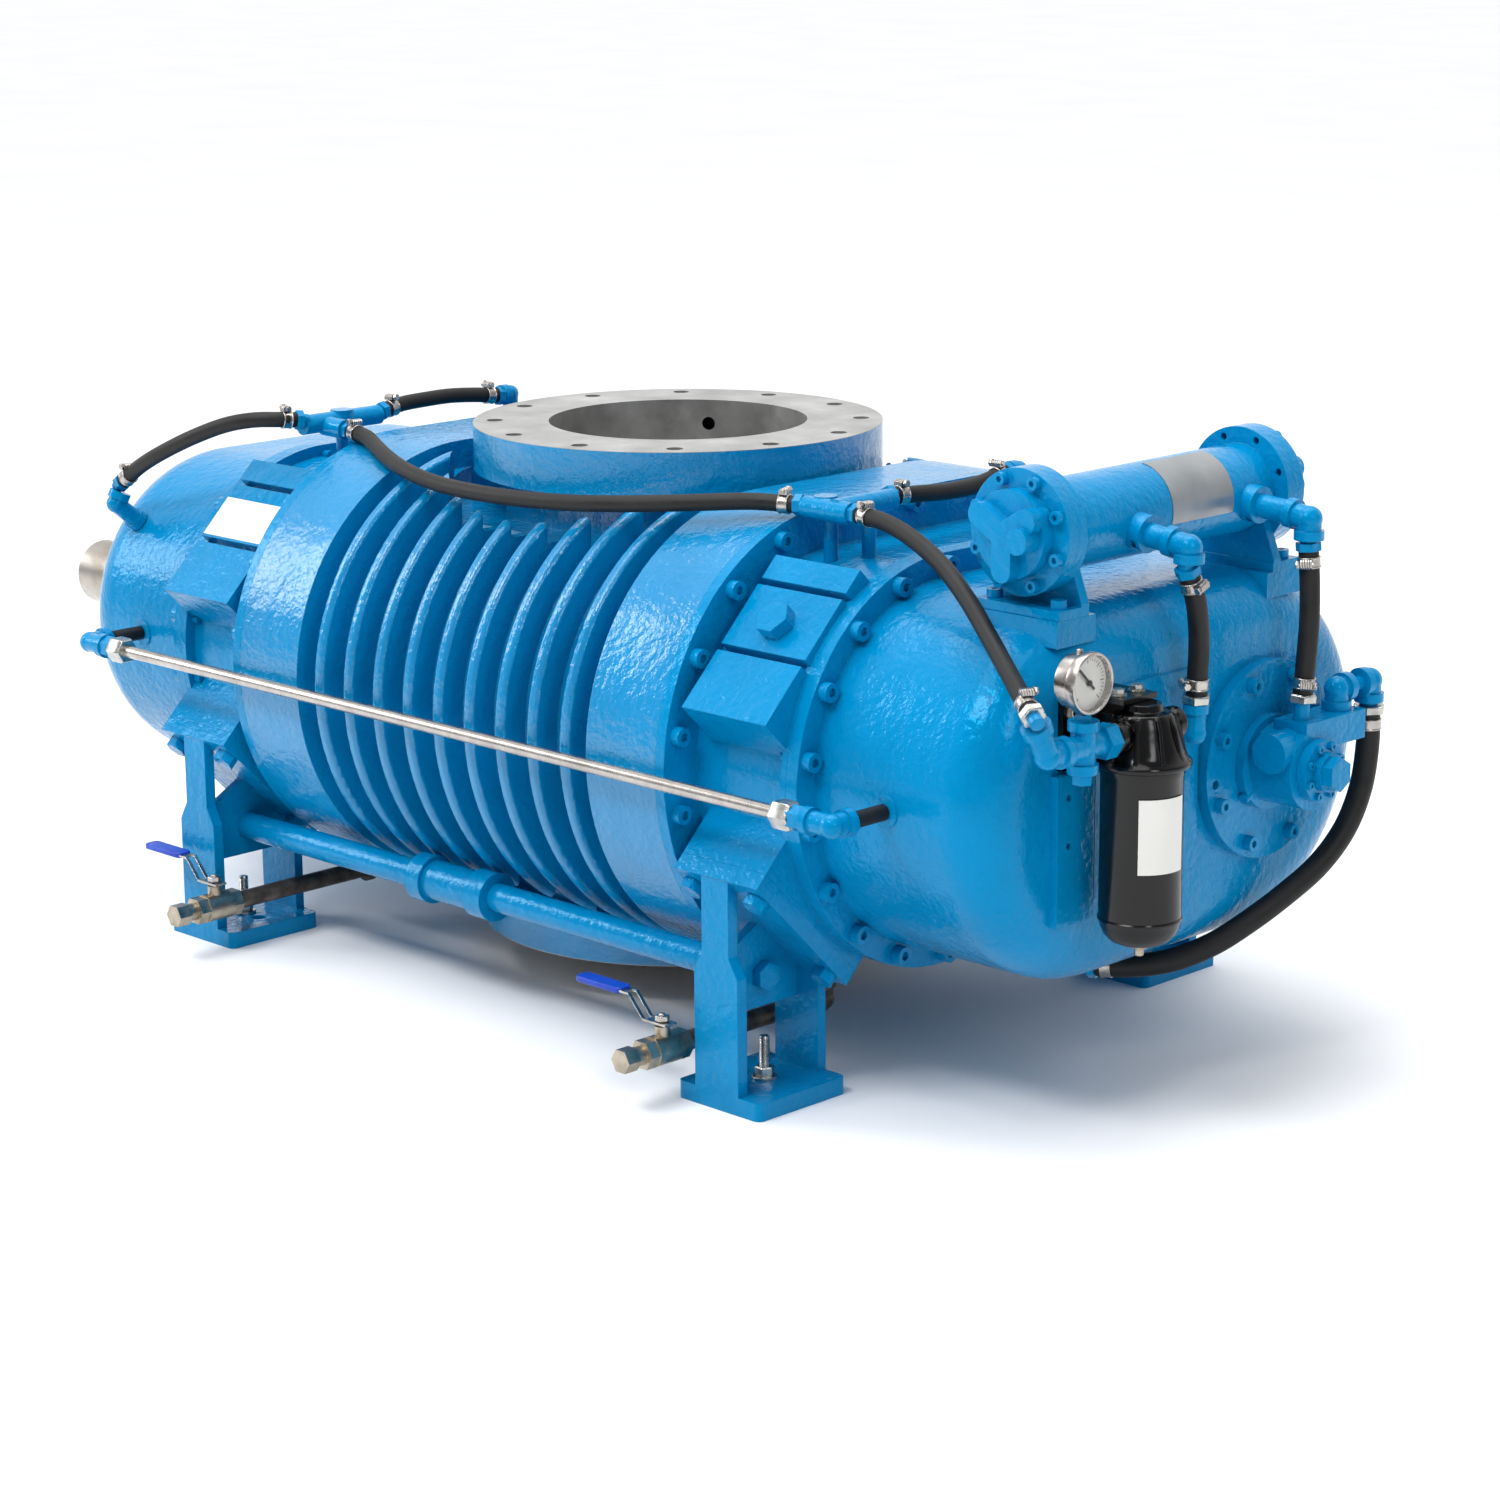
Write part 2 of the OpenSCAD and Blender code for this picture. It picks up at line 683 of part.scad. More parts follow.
module filter_bracket() {
    color(black) difference() {
        union() {
            block([gear_x, -214, 396], [gear_x + 6, -168, 476]);
            block([gear_x, -190, 470], [filter_x - 2, -136, 476]);
            block([gear_x + 6, filter_y - 26, 440], [798, filter_y + 22, 470]);
        }
        for (z = bracket_z) for (y = [-182, -200]) xcyl(3.5, gear_x - 1, gear_x + 7, y, z);
    }
}
module gauge_case() {
    color(steel) {
        difference() {
            xcyl(31.5, gauge_c.x - 26, gauge_c.x + 4, gauge_c.y, gauge_c.z);
            xcyl(28, gauge_c.x - 6, gauge_c.x + 5, gauge_c.y, gauge_c.z);
        }
        xcyl(2, gauge_c.x - 7, gauge_c.x - 4, gauge_c.y, gauge_c.z);
        seg([gauge_c.x - 13, gauge_c.y + 3, gauge_c.z - 28], cross_c + [0, 0, 36], 7);
    }
}
module gauge_glass() {
    color([0.9, 0.95, 1, 0.3]) xcyl(28, gauge_c.x + 1, gauge_c.x + 3, gauge_c.y, gauge_c.z);
}
module gauge_needle() {
    color(black) translate([gauge_c.x, gauge_c.y, gauge_c.z]) rotate([45, 0, 0]) {
        block([-2.5, -1.2, -10], [-1.5, 1.2, 22]);
        xcyl(3, -3.5, -1);
    }
}

// Oil cooler -----------------------------------------------------------------
module cooler_shell() {
    color(blue) difference() {
        union() {
            ycyl(cooler_r, -185, 175, cooler_x, cooler_z);
            ycyl(66, -185, -171, cooler_x, cooler_z);
            ycyl(66, 161, 175, cooler_x, cooler_z);
            seg([cooler_x, -66, 625], [790, -66, 616], 13);
            seg([cooler_x, 121, 628], [802, 121, 622], 13);
            seg([cooler_x + 44, -66, 621], [cooler_x + 62, -66, 619], 20);
            seg([cooler_x + 44, 121, 626], [cooler_x + 62, 121, 625], 20);
        }
        ycyl(cooler_r - 4, -186, 176, cooler_x, cooler_z);
        for (p = cooler_screw_points()) ycyl(4, -186, 176, p.x, p.y);
    }
}
module cooler_cap() {
    difference() {
        union() {
            ycyl(66, -200, -185, cooler_x, cooler_z);
            ycyl(46, -216, -199, cooler_x, cooler_z);
            for (a = [90, 210, 330]) translate([cooler_x, -229, cooler_z]) rotate([0, a, 0])
                cap_rib();
            ycyl(14, -236, -199, cooler_x + 26, cooler_z - 2);
        }
        ycyl(38, -205, -184, cooler_x, cooler_z);
        for (p = cooler_screw_points()) ycyl(4, -201, -184, p.x, p.y);
    }
}
module cap_rib() {
    translate([0, 0, -13]) cube([36, 28, 26]);
    translate([36, 28, 0]) rotate([90, 0, 0]) cylinder(r = 13, h = 28);
}
module cooler_caps() {
    color(blue) {
        cooler_cap();
        translate([0, -10, 0]) mirror([0, 1, 0]) cooler_cap();
    }
}
// Three rings of tubes, six more in each
function tube_points() = [
    for (i = [1:3]) for (j = [0:6 * i - 1])
        [cooler_x, cooler_z] + 12 * i * unit2(60 * j / i)
];
module cooler_tube_bundle() {
    color(brass) {
        for (y = [-184, 170]) difference() {
            ycyl(cooler_r - 4.1, y, y + 4, cooler_x, cooler_z);
            for (p = tube_points()) ycyl(4, y - 1, y + 5, p.x, p.y);
        }
        for (p = tube_points()) ycyl(4, -184, 174, p.x, p.y);
    }
}
module cooler_brackets() {
    color(blue) for (y = [-165, 155]) difference() {
        union() {
            xz(y - 6, y + 6) polygon([
                [650, saddle_z], [764, saddle_z], [764, saddle_z + 13], [748, 602], [730, 640],
                [680, 640], [662, 602], [650, saddle_z + 13]
            ]);
            block([650, y < 0 ? -206 : 148, saddle_z], [764, y < 0 ? -160 : 196, saddle_z + 10]);
        }
        ycyl(cooler_r, y - 7, y + 7, cooler_x, cooler_z);
        for (x = saddle_x) for (h = saddle_y) zcyl(5, saddle_z - 1, saddle_z + 11, x, h);
    }
}
module blank_plates() {
    color(white) {
        difference() {
            ycyl(cooler_r + 1, -12, 90, cooler_x, cooler_z);
            ycyl(cooler_r, -13, 91, cooler_x, cooler_z);
            block([600, -100, 560], [cooler_x + 6, 100, 700]);
            block([600, -100, 560], [800, 100, cooler_z - 12]);
        }
        pad_frame(false) translate([-513, -36, pad_n]) cube([112, 56, 0.8]);
        intersection() {
            difference() {
                zcyl(filter_r + 0.8, 300, 378, filter_x, filter_y);
                zcyl(filter_r, 299, 379, filter_x, filter_y);
            }
            translate([filter_x, filter_y, 298]) linear_extrude(82)
                polygon(concat([[0, 0]], [for (a = [-55, -19, 17]) 80 * unit2(a)]));
        }
    }
}

// Hoses ----------------------------------------------------------------------
// A round tube swept through a list of points, as one closed solid
function unit(v) = v / norm(v);
function tangent(p, i) = unit(
    (i == 0 ? p[1] - p[0] : i == len(p) - 1 ? p[i] - p[i - 1]
        : unit(p[i] - p[i - 1]) + unit(p[i + 1] - p[i]))
);
module hose(p, r) {
    n = 10;
    m = len(p);
    ring = [for (i = [0:m - 1]) let (
            t = tangent(p, i),
            u = unit(cross(t, abs(t.z) < 0.9 ? [0, 0, 1] : [0, 1, 0.01])),
            v = cross(t, u)
        ) for (k = [0:n - 1]) p[i] + r * (u * cos(k * 360 / n) + v * sin(k * 360 / n))];
    faces = concat(
        [[for (k = [0:n - 1]) k]],
        [for (i = [0:m - 2]) for (k = [0:n - 1])
            [i * n + k, (i + 1) * n + k, (i + 1) * n + (k + 1) % n, i * n + (k + 1) % n]],
        [[for (k = [n - 1:-1:0]) (m - 1) * n + k]]
    );
    polyhedron(points = ring, faces = faces, convexity = 6);
}
module hose_drive_cover() {
    color(rubber) hose(drive_cover_route, hose_r);
}
module hose_drive_bearing() {
    color(rubber) hose(drive_bearing_route, hose_r);
}
module hose_crossover() {
    color(rubber) hose(crossover_route, hose_r);
}
module hose_filter_feed() {
    color(rubber) hose(filter_feed_route, hose_r);
}
module hose_gear_bearing() {
    color(rubber) hose(gear_bearing_route, hose_r);
}
module hose_cooler_return() {
    color(rubber) hose(cooler_return_route, cooler_hose_r);
}
module hose_cooler_feed() {
    color(rubber) hose(cooler_feed_route, cooler_hose_r);
}
module hose_pump_suction() {
    color(rubber) hose(pump_suction_route, suction_r);
}

// A band clamp round the end of a hose, with its screw block; on a level hose it is on top
module clamp(a, b, r) {
    d = unit(b - a);
    s = abs(d.z) < 0.7 ? -1 : 1;
    aim(a + d * 6, a + d * 18) {
        difference() {
            cylinder(r = r + 1.6, h = 12);
            translate([0, 0, -1]) cylinder(r = r + 0.3, h = 14);
        }
        translate([s * (r + 4.9), 0, 6]) cube([7, 10, 10], center = true);
        translate([s * (r + 5), -16, 6]) rotate([-90, 0, 0]) cylinder(r = 2.5, h = 32, $fn = 24);
    }
}
module clamp_both(p, r) {
    n = len(p);
    clamp(p[0], p[1], r);
    clamp(p[n - 1], p[n - 2], r);
}
module hose_clamps() {
    color(steel) {
        for (p = [drive_cover_route, drive_bearing_route, crossover_route, filter_feed_route,
            gear_bearing_route]) clamp_both(p, hose_r);
        clamp_both(cooler_return_route, cooler_hose_r);
        clamp_both(cooler_feed_route, cooler_hose_r);
        clamp_both(pump_suction_route, suction_r);
    }
}

// Pipe fittings ----------------------------------------------------------------
// A hose nipple that ends flush against the hose's first ring
module nipple(route_end, route_next, r, l) {
    d = unit(route_end - route_next);
    aim(route_end, route_end + d * l) {
        cylinder(r = r * 0.8, h = l, $fn = 48);
        cylinder(r = r * 1.25, h = 9, $fn = 6);
    }
}
module start_nipple(p, r, l) {
    nipple(p[0], p[1], r, l);
}
module end_nipple(p, r, l) {
    nipple(p[len(p) - 1], p[len(p) - 2], r, l);
}
module elbow(a, c, b, r) {
    seg(a, c, r);
    seg(c, b, r);
    translate(c) sphere(r * 1.08);
    aim(a, c) cylinder(r = r * 1.25, h = 10, $fn = 48);
    aim(b, c) cylinder(r = r * 1.25, h = 10, $fn = 48);
}
module oil_manifolds() {
    color(blue) {
        zcyl(8, 545, 618, -430, -160);
        ycyl(12, -222, -102, -430, 622);
        zcyl(14, 606, 635, -430, -160);
        seg([-430, -187, 618], [-390, -187, 617], 12);
        start_nipple(drive_cover_route, hose_r, 16);
        start_nipple(drive_bearing_route, hose_r, 14);
        start_nipple(crossover_route, hose_r, 16);
        zcyl(8, 545, 618, 410, -168);
        zcyl(8, 545, 618, 440, -140);
        xcyl(12, 390, 458, -186, 618);
        zcyl(13, 606, 631, 410, -176);
        ycyl(12, -190, -100, 436, 620);
        end_nipple(crossover_route, hose_r, 16);
        start_nipple(filter_feed_route, hose_r, 14);
        start_nipple(gear_bearing_route, hose_r, 14);
    }
}
module hose_fittings() {
    color(blue) {
        seg([-695, -270, 469.2], [-695, -282, 479], 8);
        elbow([-695, -281, 478.2], [-695, -314, 505], [-692, -308, 520], 11);
        end_nipple(drive_cover_route, hose_r, 18);
        for (s = [-1, 1]) {
            zcyl(8, 546, 566, s * 430, 116);
            elbow([s * 430, 116, 564], [s * 430, 116, 624], [s * 430, 100, 624], 10);
        }
        end_nipple(drive_bearing_route, hose_r, 16);
        end_nipple(gear_bearing_route, hose_r, 16);
        elbow([791, -66, 616], [818, -66, 612], [818, -66, 596], 13);
        start_nipple(cooler_return_route, cooler_hose_r, 16);
        elbow([803, 121, 622], [830, 121, 618], [830, 121, 596], 13);
        start_nipple(cooler_feed_route, cooler_hose_r, 16);
        xcyl(9, gear_x - 10, gear_x + 6, -30, 408);
        elbow([gear_x + 4, -30, 408], [803, -30, 408], [803, -30, 440], 11);
        end_nipple(cooler_return_route, cooler_hose_r, 16);
        zcyl(9, 374, 424, 830, 117);
        end_nipple(cooler_feed_route, cooler_hose_r, 20);
        elbow([828, 182, 402], [828, 182, 424], [828, 200, 424], 13);
        zcyl(9, 374, 404, 828, 182);
        ycyl(8, 198, 226, 828, 424);
        elbow([828, 222, 424], [829, 240, 424], [829, 240, 401], 13);
        start_nipple(pump_suction_route, suction_r, 19);
        end_nipple(pump_suction_route, suction_r, 22);
        zcyl(11, 146, 160, 622, -14);
        elbow([622, -14, 147.5], [622, -14, 122], [640, -14, 122], 11);
        ycyl(13, cross_c.y - 30, cross_c.y + 28, cross_c.x, cross_c.z);
        zcyl(13, cross_c.z - 26, cross_c.z + 26, cross_c.x, cross_c.y);
        for (s = [-1, 1]) zcyl(16, cross_c.z + s * 22 - 5, cross_c.z + s * 22 + 5, cross_c.x, cross_c.y);
        zcyl(11, cross_c.z - 38, cross_c.z - 26, cross_c.x, cross_c.y, $fn = 6);
        ycyl(19, cross_c.y + 24, filter_y - 52, cross_c.x, cross_c.z, $fn = 6);
        zcyl(9, cross_c.z + 26, cross_c.z + 34, cross_c.x, cross_c.y, $fn = 6);
        elbow(cross_c + [0, -28, 0], [filter_x, -308, 440], [837, -326, 474], 13);
        end_nipple(filter_feed_route, hose_r, 20);
    }
}
module side_oil_tube() {
    color(steel) xcyl(side_r, -590, 590, side_y, zc);
}
module side_tube_fittings() {
    color(blue) for (m = [false, true]) mirror_x(m) {
        difference() {
            xcyl(14, 560, 604, side_y, zc, $fn = 6);
            xcyl(side_r, 559, 590, side_y, zc);
        }
        elbow([600, side_y, zc], [636, side_y, zc], [636, side_y + 26, zc], 12);
        ycyl(7, side_y + 20, -cy - cover_r + 14, 636, zc);
    }
}

// Oil drains --------------------------------------------------------------------
module drain_pipes() {
    color(dark_steel) for (m = [false, true]) mirror_x(m) {
        elbow([drain_x, riser_y - 14, drain_z], [drain_x, riser_y, drain_z], [drain_x, riser_y, 84], 13);
        ycyl(drain_r, valve_y + 30, riser_y - 12, drain_x, drain_z);
        zcyl(drain_r, 80, 152, drain_x, riser_y);
    }
}
module drain_valve_bodies() {
    color(brass) for (m = [false, true]) mirror_x(m) difference() {
        union() {
            ycyl(17, valve_y - 18, valve_y + 18, drain_x, drain_z);
            for (y = [valve_y - 32, valve_y + 18]) ycyl(17, y, y + 14, drain_x, drain_z, $fn = 6);
            ycyl(drain_r, valve_y - 44, valve_y - 30, drain_x, drain_z);
            ycyl(14, valve_y - 62, valve_y - 44, drain_x, drain_z, $fn = 6);
            zcyl(8.5, drain_z + 10, drain_z + 26, drain_x, valve_y);
        }
        translate([drain_x, valve_y, drain_z]) sphere(12);
        zcyl(4.06, drain_z, drain_z + 27, drain_x, valve_y);
        ycyl(6, valve_y - 33, valve_y + 33, drain_x, drain_z);
        ycyl(drain_r, valve_y + 30, valve_y + 33, drain_x, drain_z);
    }
}
module drain_lever() {
    color(steel) difference() {
        union() {
            translate([drain_x, valve_y, drain_z]) sphere(11.9);
            zcyl(4, drain_z, drain_z + 40, drain_x, valve_y);
        }
        xcyl(6, drain_x - 14, drain_x + 14, valve_y, drain_z);
    }
    color(steel) {
        zcyl(7.5, drain_z + 32, drain_z + 37, drain_x, valve_y, $fn = 6);
        xz(valve_y - 8, valve_y + 8) polygon([
            [drain_x + 12, 88], [drain_x + 12, 91], [drain_x - 24, 91], [drain_x - 46, 115],
            [drain_x - 60, 115], [drain_x - 60, 112], [drain_x - 47, 112],
            [drain_x - 25, 88]
        ]);
    }
    color(royal) block([drain_x - 128, valve_y - 10, 110.5], [drain_x - 58, valve_y + 10, 116.5]);
}
module gear_drain_lever() {
    drain_lever();
}
module drive_drain_lever() {
    translate([-2 * drain_x, 0, 0]) drain_lever();
}

// Bearings and seals --------------------------------------------------------------
module ring(r_out, r_in, x0, x1, y) {
    difference() {
        xcyl(r_out, x0, x1, y, zc);
        xcyl(r_in, x0 - 1, x1 + 1, y, zc);
    }
}
module bearing_outer_rings() {
    color(steel) for (m = [false, true]) mirror_x(m) for (s = [-1, 1])
        ring(bearing_r, 78, bearing_x0, bearing_x1, s * cy);
}
module bearing_inner(y) {
    for (m = [false, true]) mirror_x(m) {
        ring(57, journal_r, bearing_x0 + 2, bearing_x1 - 2, y);
        for (i = [0:15]) translate([0, y, zc]) rotate([i * 22.5, 0, 0])
            xcyl(9.9, bearing_x0 + 6, bearing_x1 - 6, 0, 67.5, $fn = 32);
    }
}
module drive_bearing_rings() {
    color(steel) bearing_inner(-cy);
}
module driven_bearing_rings() {
    color(steel) bearing_inner(cy);
}
module shaft_seals() {
    color(dark_steel) {
        for (m = [false, true]) mirror_x(m) for (s = [-1, 1])
            ring(seal_r, shaft_r + seal_gap, casing_l + 2, bearing_x0 - 8, s * cy);
        ring(seal_r, seal_seat_r + seal_gap, -drive_x - 6, -drive_x + wall, -cy);
    }
}

// Rotors and shafts -----------------------------------------------------------------
// The lobe flank is rolled by a small circle on the outside of the pitch circle, the
// hollow by the same circle on its inside, and both are set back by the clearance
function lobe_point(t) = let (
    k = cy / (2 * lobes),
    p = (cy + k) * unit2(t) - k * unit2(t * (cy + k) / k),
    n = p - cy * unit2(t)
) p - rotor_gap * n / norm(n);
function hollow_point(t) = let (
    k = cy / (2 * lobes),
    q = t * (cy - k) / k,
    p = (cy - k) * unit2(t) + k * [cos(q), -sin(q)],
    n = cy * unit2(t) - p
) p - rotor_gap * n / norm(n);
function turn(p, a) = [p.x * cos(a) - p.y * sin(a), p.x * sin(a) + p.y * cos(a)];
function rotor_outline(steps = 20) = let (arc = 90 * 2 / lobes) [
    for (i = [0:lobes - 1]) each concat(
        [for (j = [0:steps - 1])
            turn(lobe_point(arc * (j + 0.5) / steps), i * 2 * arc - arc / 2)],
        [for (j = [0:steps - 1])
            turn(hollow_point(arc * (j + 0.5) / steps), i * 2 * arc + arc / 2)]
    )
];
module rotor(y, turned) {
    difference() {
        yz(-chamber_end, chamber_end) translate([y, zc]) rotate(turned) polygon(rotor_outline());
        xcyl(shaft_r, -chamber_end - 1, chamber_end + 1, y, zc);
        translate([0, y, zc]) rotate([turned, 0, 0]) for (s = [-1, 1])
            xcyl(30, -chamber_end - 1, chamber_end + 1, s * 116, 0);
    }
}
module drive_rotor() {
    color(dark_steel) rotor(-cy, 90);
}
module driven_rotor() {
    color(dark_steel) rotor(cy, 0);
}
module shaft_core(y) {
    xcyl(shaft_r, -bearing_x0, bearing_x0, y, zc);
    xcyl(journal_r, -bearing_x1 - 10, bearing_x1 + 10, y, zc);
}
module drive_shaft() {
    color(steel) difference() {
        union() {
            shaft_core(-cy);
            xcyl(gear_seat_r, bearing_x1 + 9, 650, -cy, zc);
            xcyl(seal_seat_r, stub_end, -bearing_x1 - 9, -cy, zc);
            xcyl(stub_r, stub_x, stub_end, -cy, zc);
        }
        block([stub_x - 1, -cy - 11, zc - 60], [stub_x + 112, -cy + 11, zc - stub_r + 9]);
        timing_key(-cy);
    }
}
// The key between a shaft and its timing gear
module timing_key(y) {
    block([gear_x0 + 5, y - gear_key, zc + gear_seat_r - 6], [gear_x1 - 5, y + gear_key, zc + gear_seat_r + 5]);
}
module drive_gear_key() {
    color(dark_steel) timing_key(-cy);
}
module driven_gear_key() {
    color(dark_steel) timing_key(cy);
}
module driven_shaft() {
    color(steel) difference() {
        union() {
            shaft_core(cy);
            xcyl(gear_seat_r, bearing_x1 + 9, 650, cy, zc);
            xcyl(18, 649, 700, cy, zc);
        }
        timing_key(cy);
    }
}
module timing_gear(y) {
    difference() {
        union() {
            yz(gear_x0, gear_x1) translate([y, zc]) polygon(gear_points(gear_m, gear_z, 1, 0.15));
            xcyl(62, gear_x0 - 20, gear_x0, y, zc);
        }
        xcyl(gear_seat_r, gear_x0 - 21, gear_x1 + 1, y, zc);
        timing_key(y);
        for (i = [0:5]) translate([0, y, zc]) rotate([i * 60, 0, 0])
            xcyl(14, gear_x0 - 1, gear_x1 + 1, 82, 0);
    }
    difference() {
        xcyl(58, gear_x1, gear_x1 + 16, y, zc, $fn = 8);
        xcyl(gear_seat_r, gear_x1 - 1, gear_x1 + 17, y, zc);
    }
}
module drive_timing_gear() {
    color(steel) timing_gear(-cy);
}
module driven_timing_gear() {
    color(steel) timing_gear(cy);
}

casing();
gear_end_plate();
drive_end_plate();
gear_cover();
drive_cover();
casing_screws();
foot_near_gear();
foot_near_drive();
foot_far_gear();
foot_far_drive();
foot_bolts();
levelling_screws();
tie_tubes();
tie_couplings();
hex_plugs();
inspection_plate();
small_screws();
pump_body();
pump_end_cover();
filter_head();
filter_bowl();
filter_bracket();
gauge_case();
gauge_glass();
gauge_needle();
cooler_shell();
cooler_caps();
cooler_tube_bundle();
cooler_brackets();
blank_plates();
hose_drive_cover();
hose_drive_bearing();
hose_crossover();
hose_filter_feed();
hose_gear_bearing();
hose_cooler_return();
hose_cooler_feed();
hose_pump_suction();
hose_clamps();
oil_manifolds();
hose_fittings();
side_oil_tube();
side_tube_fittings();
drain_pipes();
drain_valve_bodies();
drive_drain_lever();
gear_drain_lever();
bearing_outer_rings();
shaft_seals();
drive_rotor();
drive_shaft();
drive_timing_gear();
drive_gear_key();
drive_bearing_rings();
driven_rotor();
driven_shaft();
driven_timing_gear();
driven_gear_key();
driven_bearing_rings();
pump_drive_gear();
pump_idler_gear();
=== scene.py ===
"""Looks for a twin-rotor industrial supercharger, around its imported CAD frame."""

import json
import math

import bmesh
import bpy
from mathutils import Matrix, Vector


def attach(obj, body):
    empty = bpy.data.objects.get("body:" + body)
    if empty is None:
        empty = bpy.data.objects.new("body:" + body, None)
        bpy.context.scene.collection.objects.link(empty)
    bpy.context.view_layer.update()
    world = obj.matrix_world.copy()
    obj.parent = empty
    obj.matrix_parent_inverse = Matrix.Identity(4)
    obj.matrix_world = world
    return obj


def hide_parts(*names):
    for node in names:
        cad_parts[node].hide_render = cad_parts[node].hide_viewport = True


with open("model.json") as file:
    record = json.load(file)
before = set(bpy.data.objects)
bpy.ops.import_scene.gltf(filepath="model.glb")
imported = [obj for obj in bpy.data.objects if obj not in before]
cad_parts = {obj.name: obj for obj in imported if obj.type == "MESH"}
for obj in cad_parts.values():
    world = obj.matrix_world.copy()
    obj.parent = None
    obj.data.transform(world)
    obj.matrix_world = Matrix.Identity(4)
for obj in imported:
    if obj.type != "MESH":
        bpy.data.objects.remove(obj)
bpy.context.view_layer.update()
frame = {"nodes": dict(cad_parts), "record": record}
NODES = frame["nodes"]
MM = 0.001
SHAFT_Z, SHAFT_Y = 0.35, 0.123  # both shafts' height, and each one's distance from the middle plane

# Camera ----------------------------------------------------------------------
CAMERA_AT = Vector((3.1373, -3.0190, 1.3307))
YAW, PITCH, ROLL = math.radians(134.685), math.radians(-13.982), math.radians(-0.327)
LENS, SHIFT_X = 89.30, -0.0141


def make_camera():
    look = Vector((math.cos(PITCH) * math.cos(YAW), math.cos(PITCH) * math.sin(YAW),
                   math.sin(PITCH)))
    right = look.cross(Vector((0, 0, 1))).normalized()
    up = right.cross(look)
    x = right * math.cos(ROLL) + up * math.sin(ROLL)
    y = up * math.cos(ROLL) - right * math.sin(ROLL)
    camera = bpy.data.objects.new("camera", bpy.data.cameras.new("camera"))
    camera.data.lens = LENS
    camera.data.shift_x = SHIFT_X
    camera.data.clip_end = 200
    turn = Matrix((x, y, -look)).transposed().to_4x4()
    camera.matrix_world = Matrix.Translation(CAMERA_AT) @ turn
    bpy.context.scene.collection.objects.link(camera)
    bpy.context.scene.camera = camera


make_camera()

# Hoses: radii in metres, and the routes of the CAD solids in millimetres --------
HOSE_R, COOLER_HOSE_R, SUCTION_R = 0.0095, 0.011, 0.013
ROUTES = {
    "hose_drive_cover": (HOSE_R, [
        (-430, -232, 630), (-436, -252, 632), (-462, -274, 631), (-500, -288, 622),
        (-550, -299, 603), (-605, -305, 579), (-650, -306, 557), (-688, -305, 534)]),
    "hose_drive_bearing": (HOSE_R, [
        (-430, -92, 626), (-434, -60, 630), (-436, -20, 631), (-436, 20, 631),
        (-433, 60, 628), (-430, 92, 624)]),
    "hose_crossover": (HOSE_R, [
        (-378, -187, 616), (-340, -195, 614), (-300, -212, 608), (-250, -234, 602),
        (-190, -254, 596), (-120, -268, 592), (-40, -275, 592), (40, -277, 595),
        (120, -273, 600), (200, -258, 607), (270, -236, 614), (330, -208, 619),
        (378, -190, 619)]),
    "hose_filter_feed": (HOSE_R, [
        (468, -185, 618), (510, -190, 616), (560, -201, 606), (615, -217, 588),
        (670, -239, 563), (725, -266, 534), (775, -295, 512), (812, -320, 500),
        (836, -332, 488)]),
    "hose_gear_bearing": (HOSE_R, [
        (430, -92, 622), (434, -55, 620), (435, -10, 617), (434, 35, 617),
        (432, 70, 621), (430, 92, 624)]),
    "hose_cooler_return": (COOLER_HOSE_R, [
        (818, -66, 584), (818, -54, 556), (814, -43, 528), (809, -35, 500),
        (805, -31, 474), (803, -30, 450)]),
    "hose_cooler_feed": (COOLER_HOSE_R, [
        (830, 121, 584), (832, 122, 550), (833, 122, 510), (832, 120, 470),
        (830, 118, 430)]),
    "hose_pump_suction": (SUCTION_R, [
        (829, 240, 388), (829, 240, 350), (829, 230, 305), (824, 210, 262),
        (814, 178, 226), (800, 138, 198), (782, 98, 172), (760, 62, 149),
        (730, 30, 132), (695, 5, 124), (660, -12, 122)]),
}


def smooth_path(points, steps=8):
    """Points along a Catmull-Rom curve through the given ones."""
    ends = [2 * points[0] - points[1], *points, 2 * points[-1] - points[-2]]
    path = []
    for a, b, c, d in zip(ends, ends[1:], ends[2:], ends[3:]):
        for i in range(steps):
            t = i / steps
            path.append(0.5 * (2 * b + (c - a) * t + (2 * a - 5 * b + 4 * c - d) * t * t
                               + (3 * b - a - 3 * c + d) * t ** 3))
    return [*path, points[-1]]


def make_hose(node, radius, route):
    path = smooth_path([Vector(p) * MM for p in route])
    curve = bpy.data.curves.new(node, "CURVE")
    curve.dimensions = "3D"
    curve.bevel_depth = 1.0
    curve.bevel_resolution = 8
    curve.use_fill_caps = True
    spline = curve.splines.new("POLY")
    spline.points.add(len(path) - 1)
    for point, co in zip(spline.points, path):
        point.co = (*co, 1)
        point.radius = radius
    spline.use_smooth = True
    hose = bpy.data.objects.new(node + ".outer", curve)
    bpy.context.scene.collection.objects.link(hose)
    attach(hose, "blower")
    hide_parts(node)
    return hose


HOSES = [make_hose(node, radius, route) for node, (radius, route) in ROUTES.items()]


# Materials ---------------------------------------------------------------------
def add(tree, kind, inputs=None, **settings):
    """A node with its settings, and its inputs set to values or linked to other nodes' sockets."""
    n = tree.nodes.new("ShaderNode" + kind)
    for key, value in settings.items():
        setattr(n, key, value)
    for key, value in (inputs or {}).items():
        if isinstance(value, bpy.types.NodeSocket):
            tree.links.new(value, n.inputs[key])
        else:
            n.inputs[key].default_value = value
    return n


def srgb(r, g, b):
    """A colour given as a screen shows it, as the linear one a shader takes."""
    return tuple(c / 12.92 if c < 0.04045 else ((c + 0.055) / 1.055) ** 2.4
                 for c in (r, g, b)) + (1,)


def grey(value):
    return (value, value, value, 1)


def shade(colour, factor):
    return tuple(min(1, c * factor) for c in colour[:3]) + (1,)


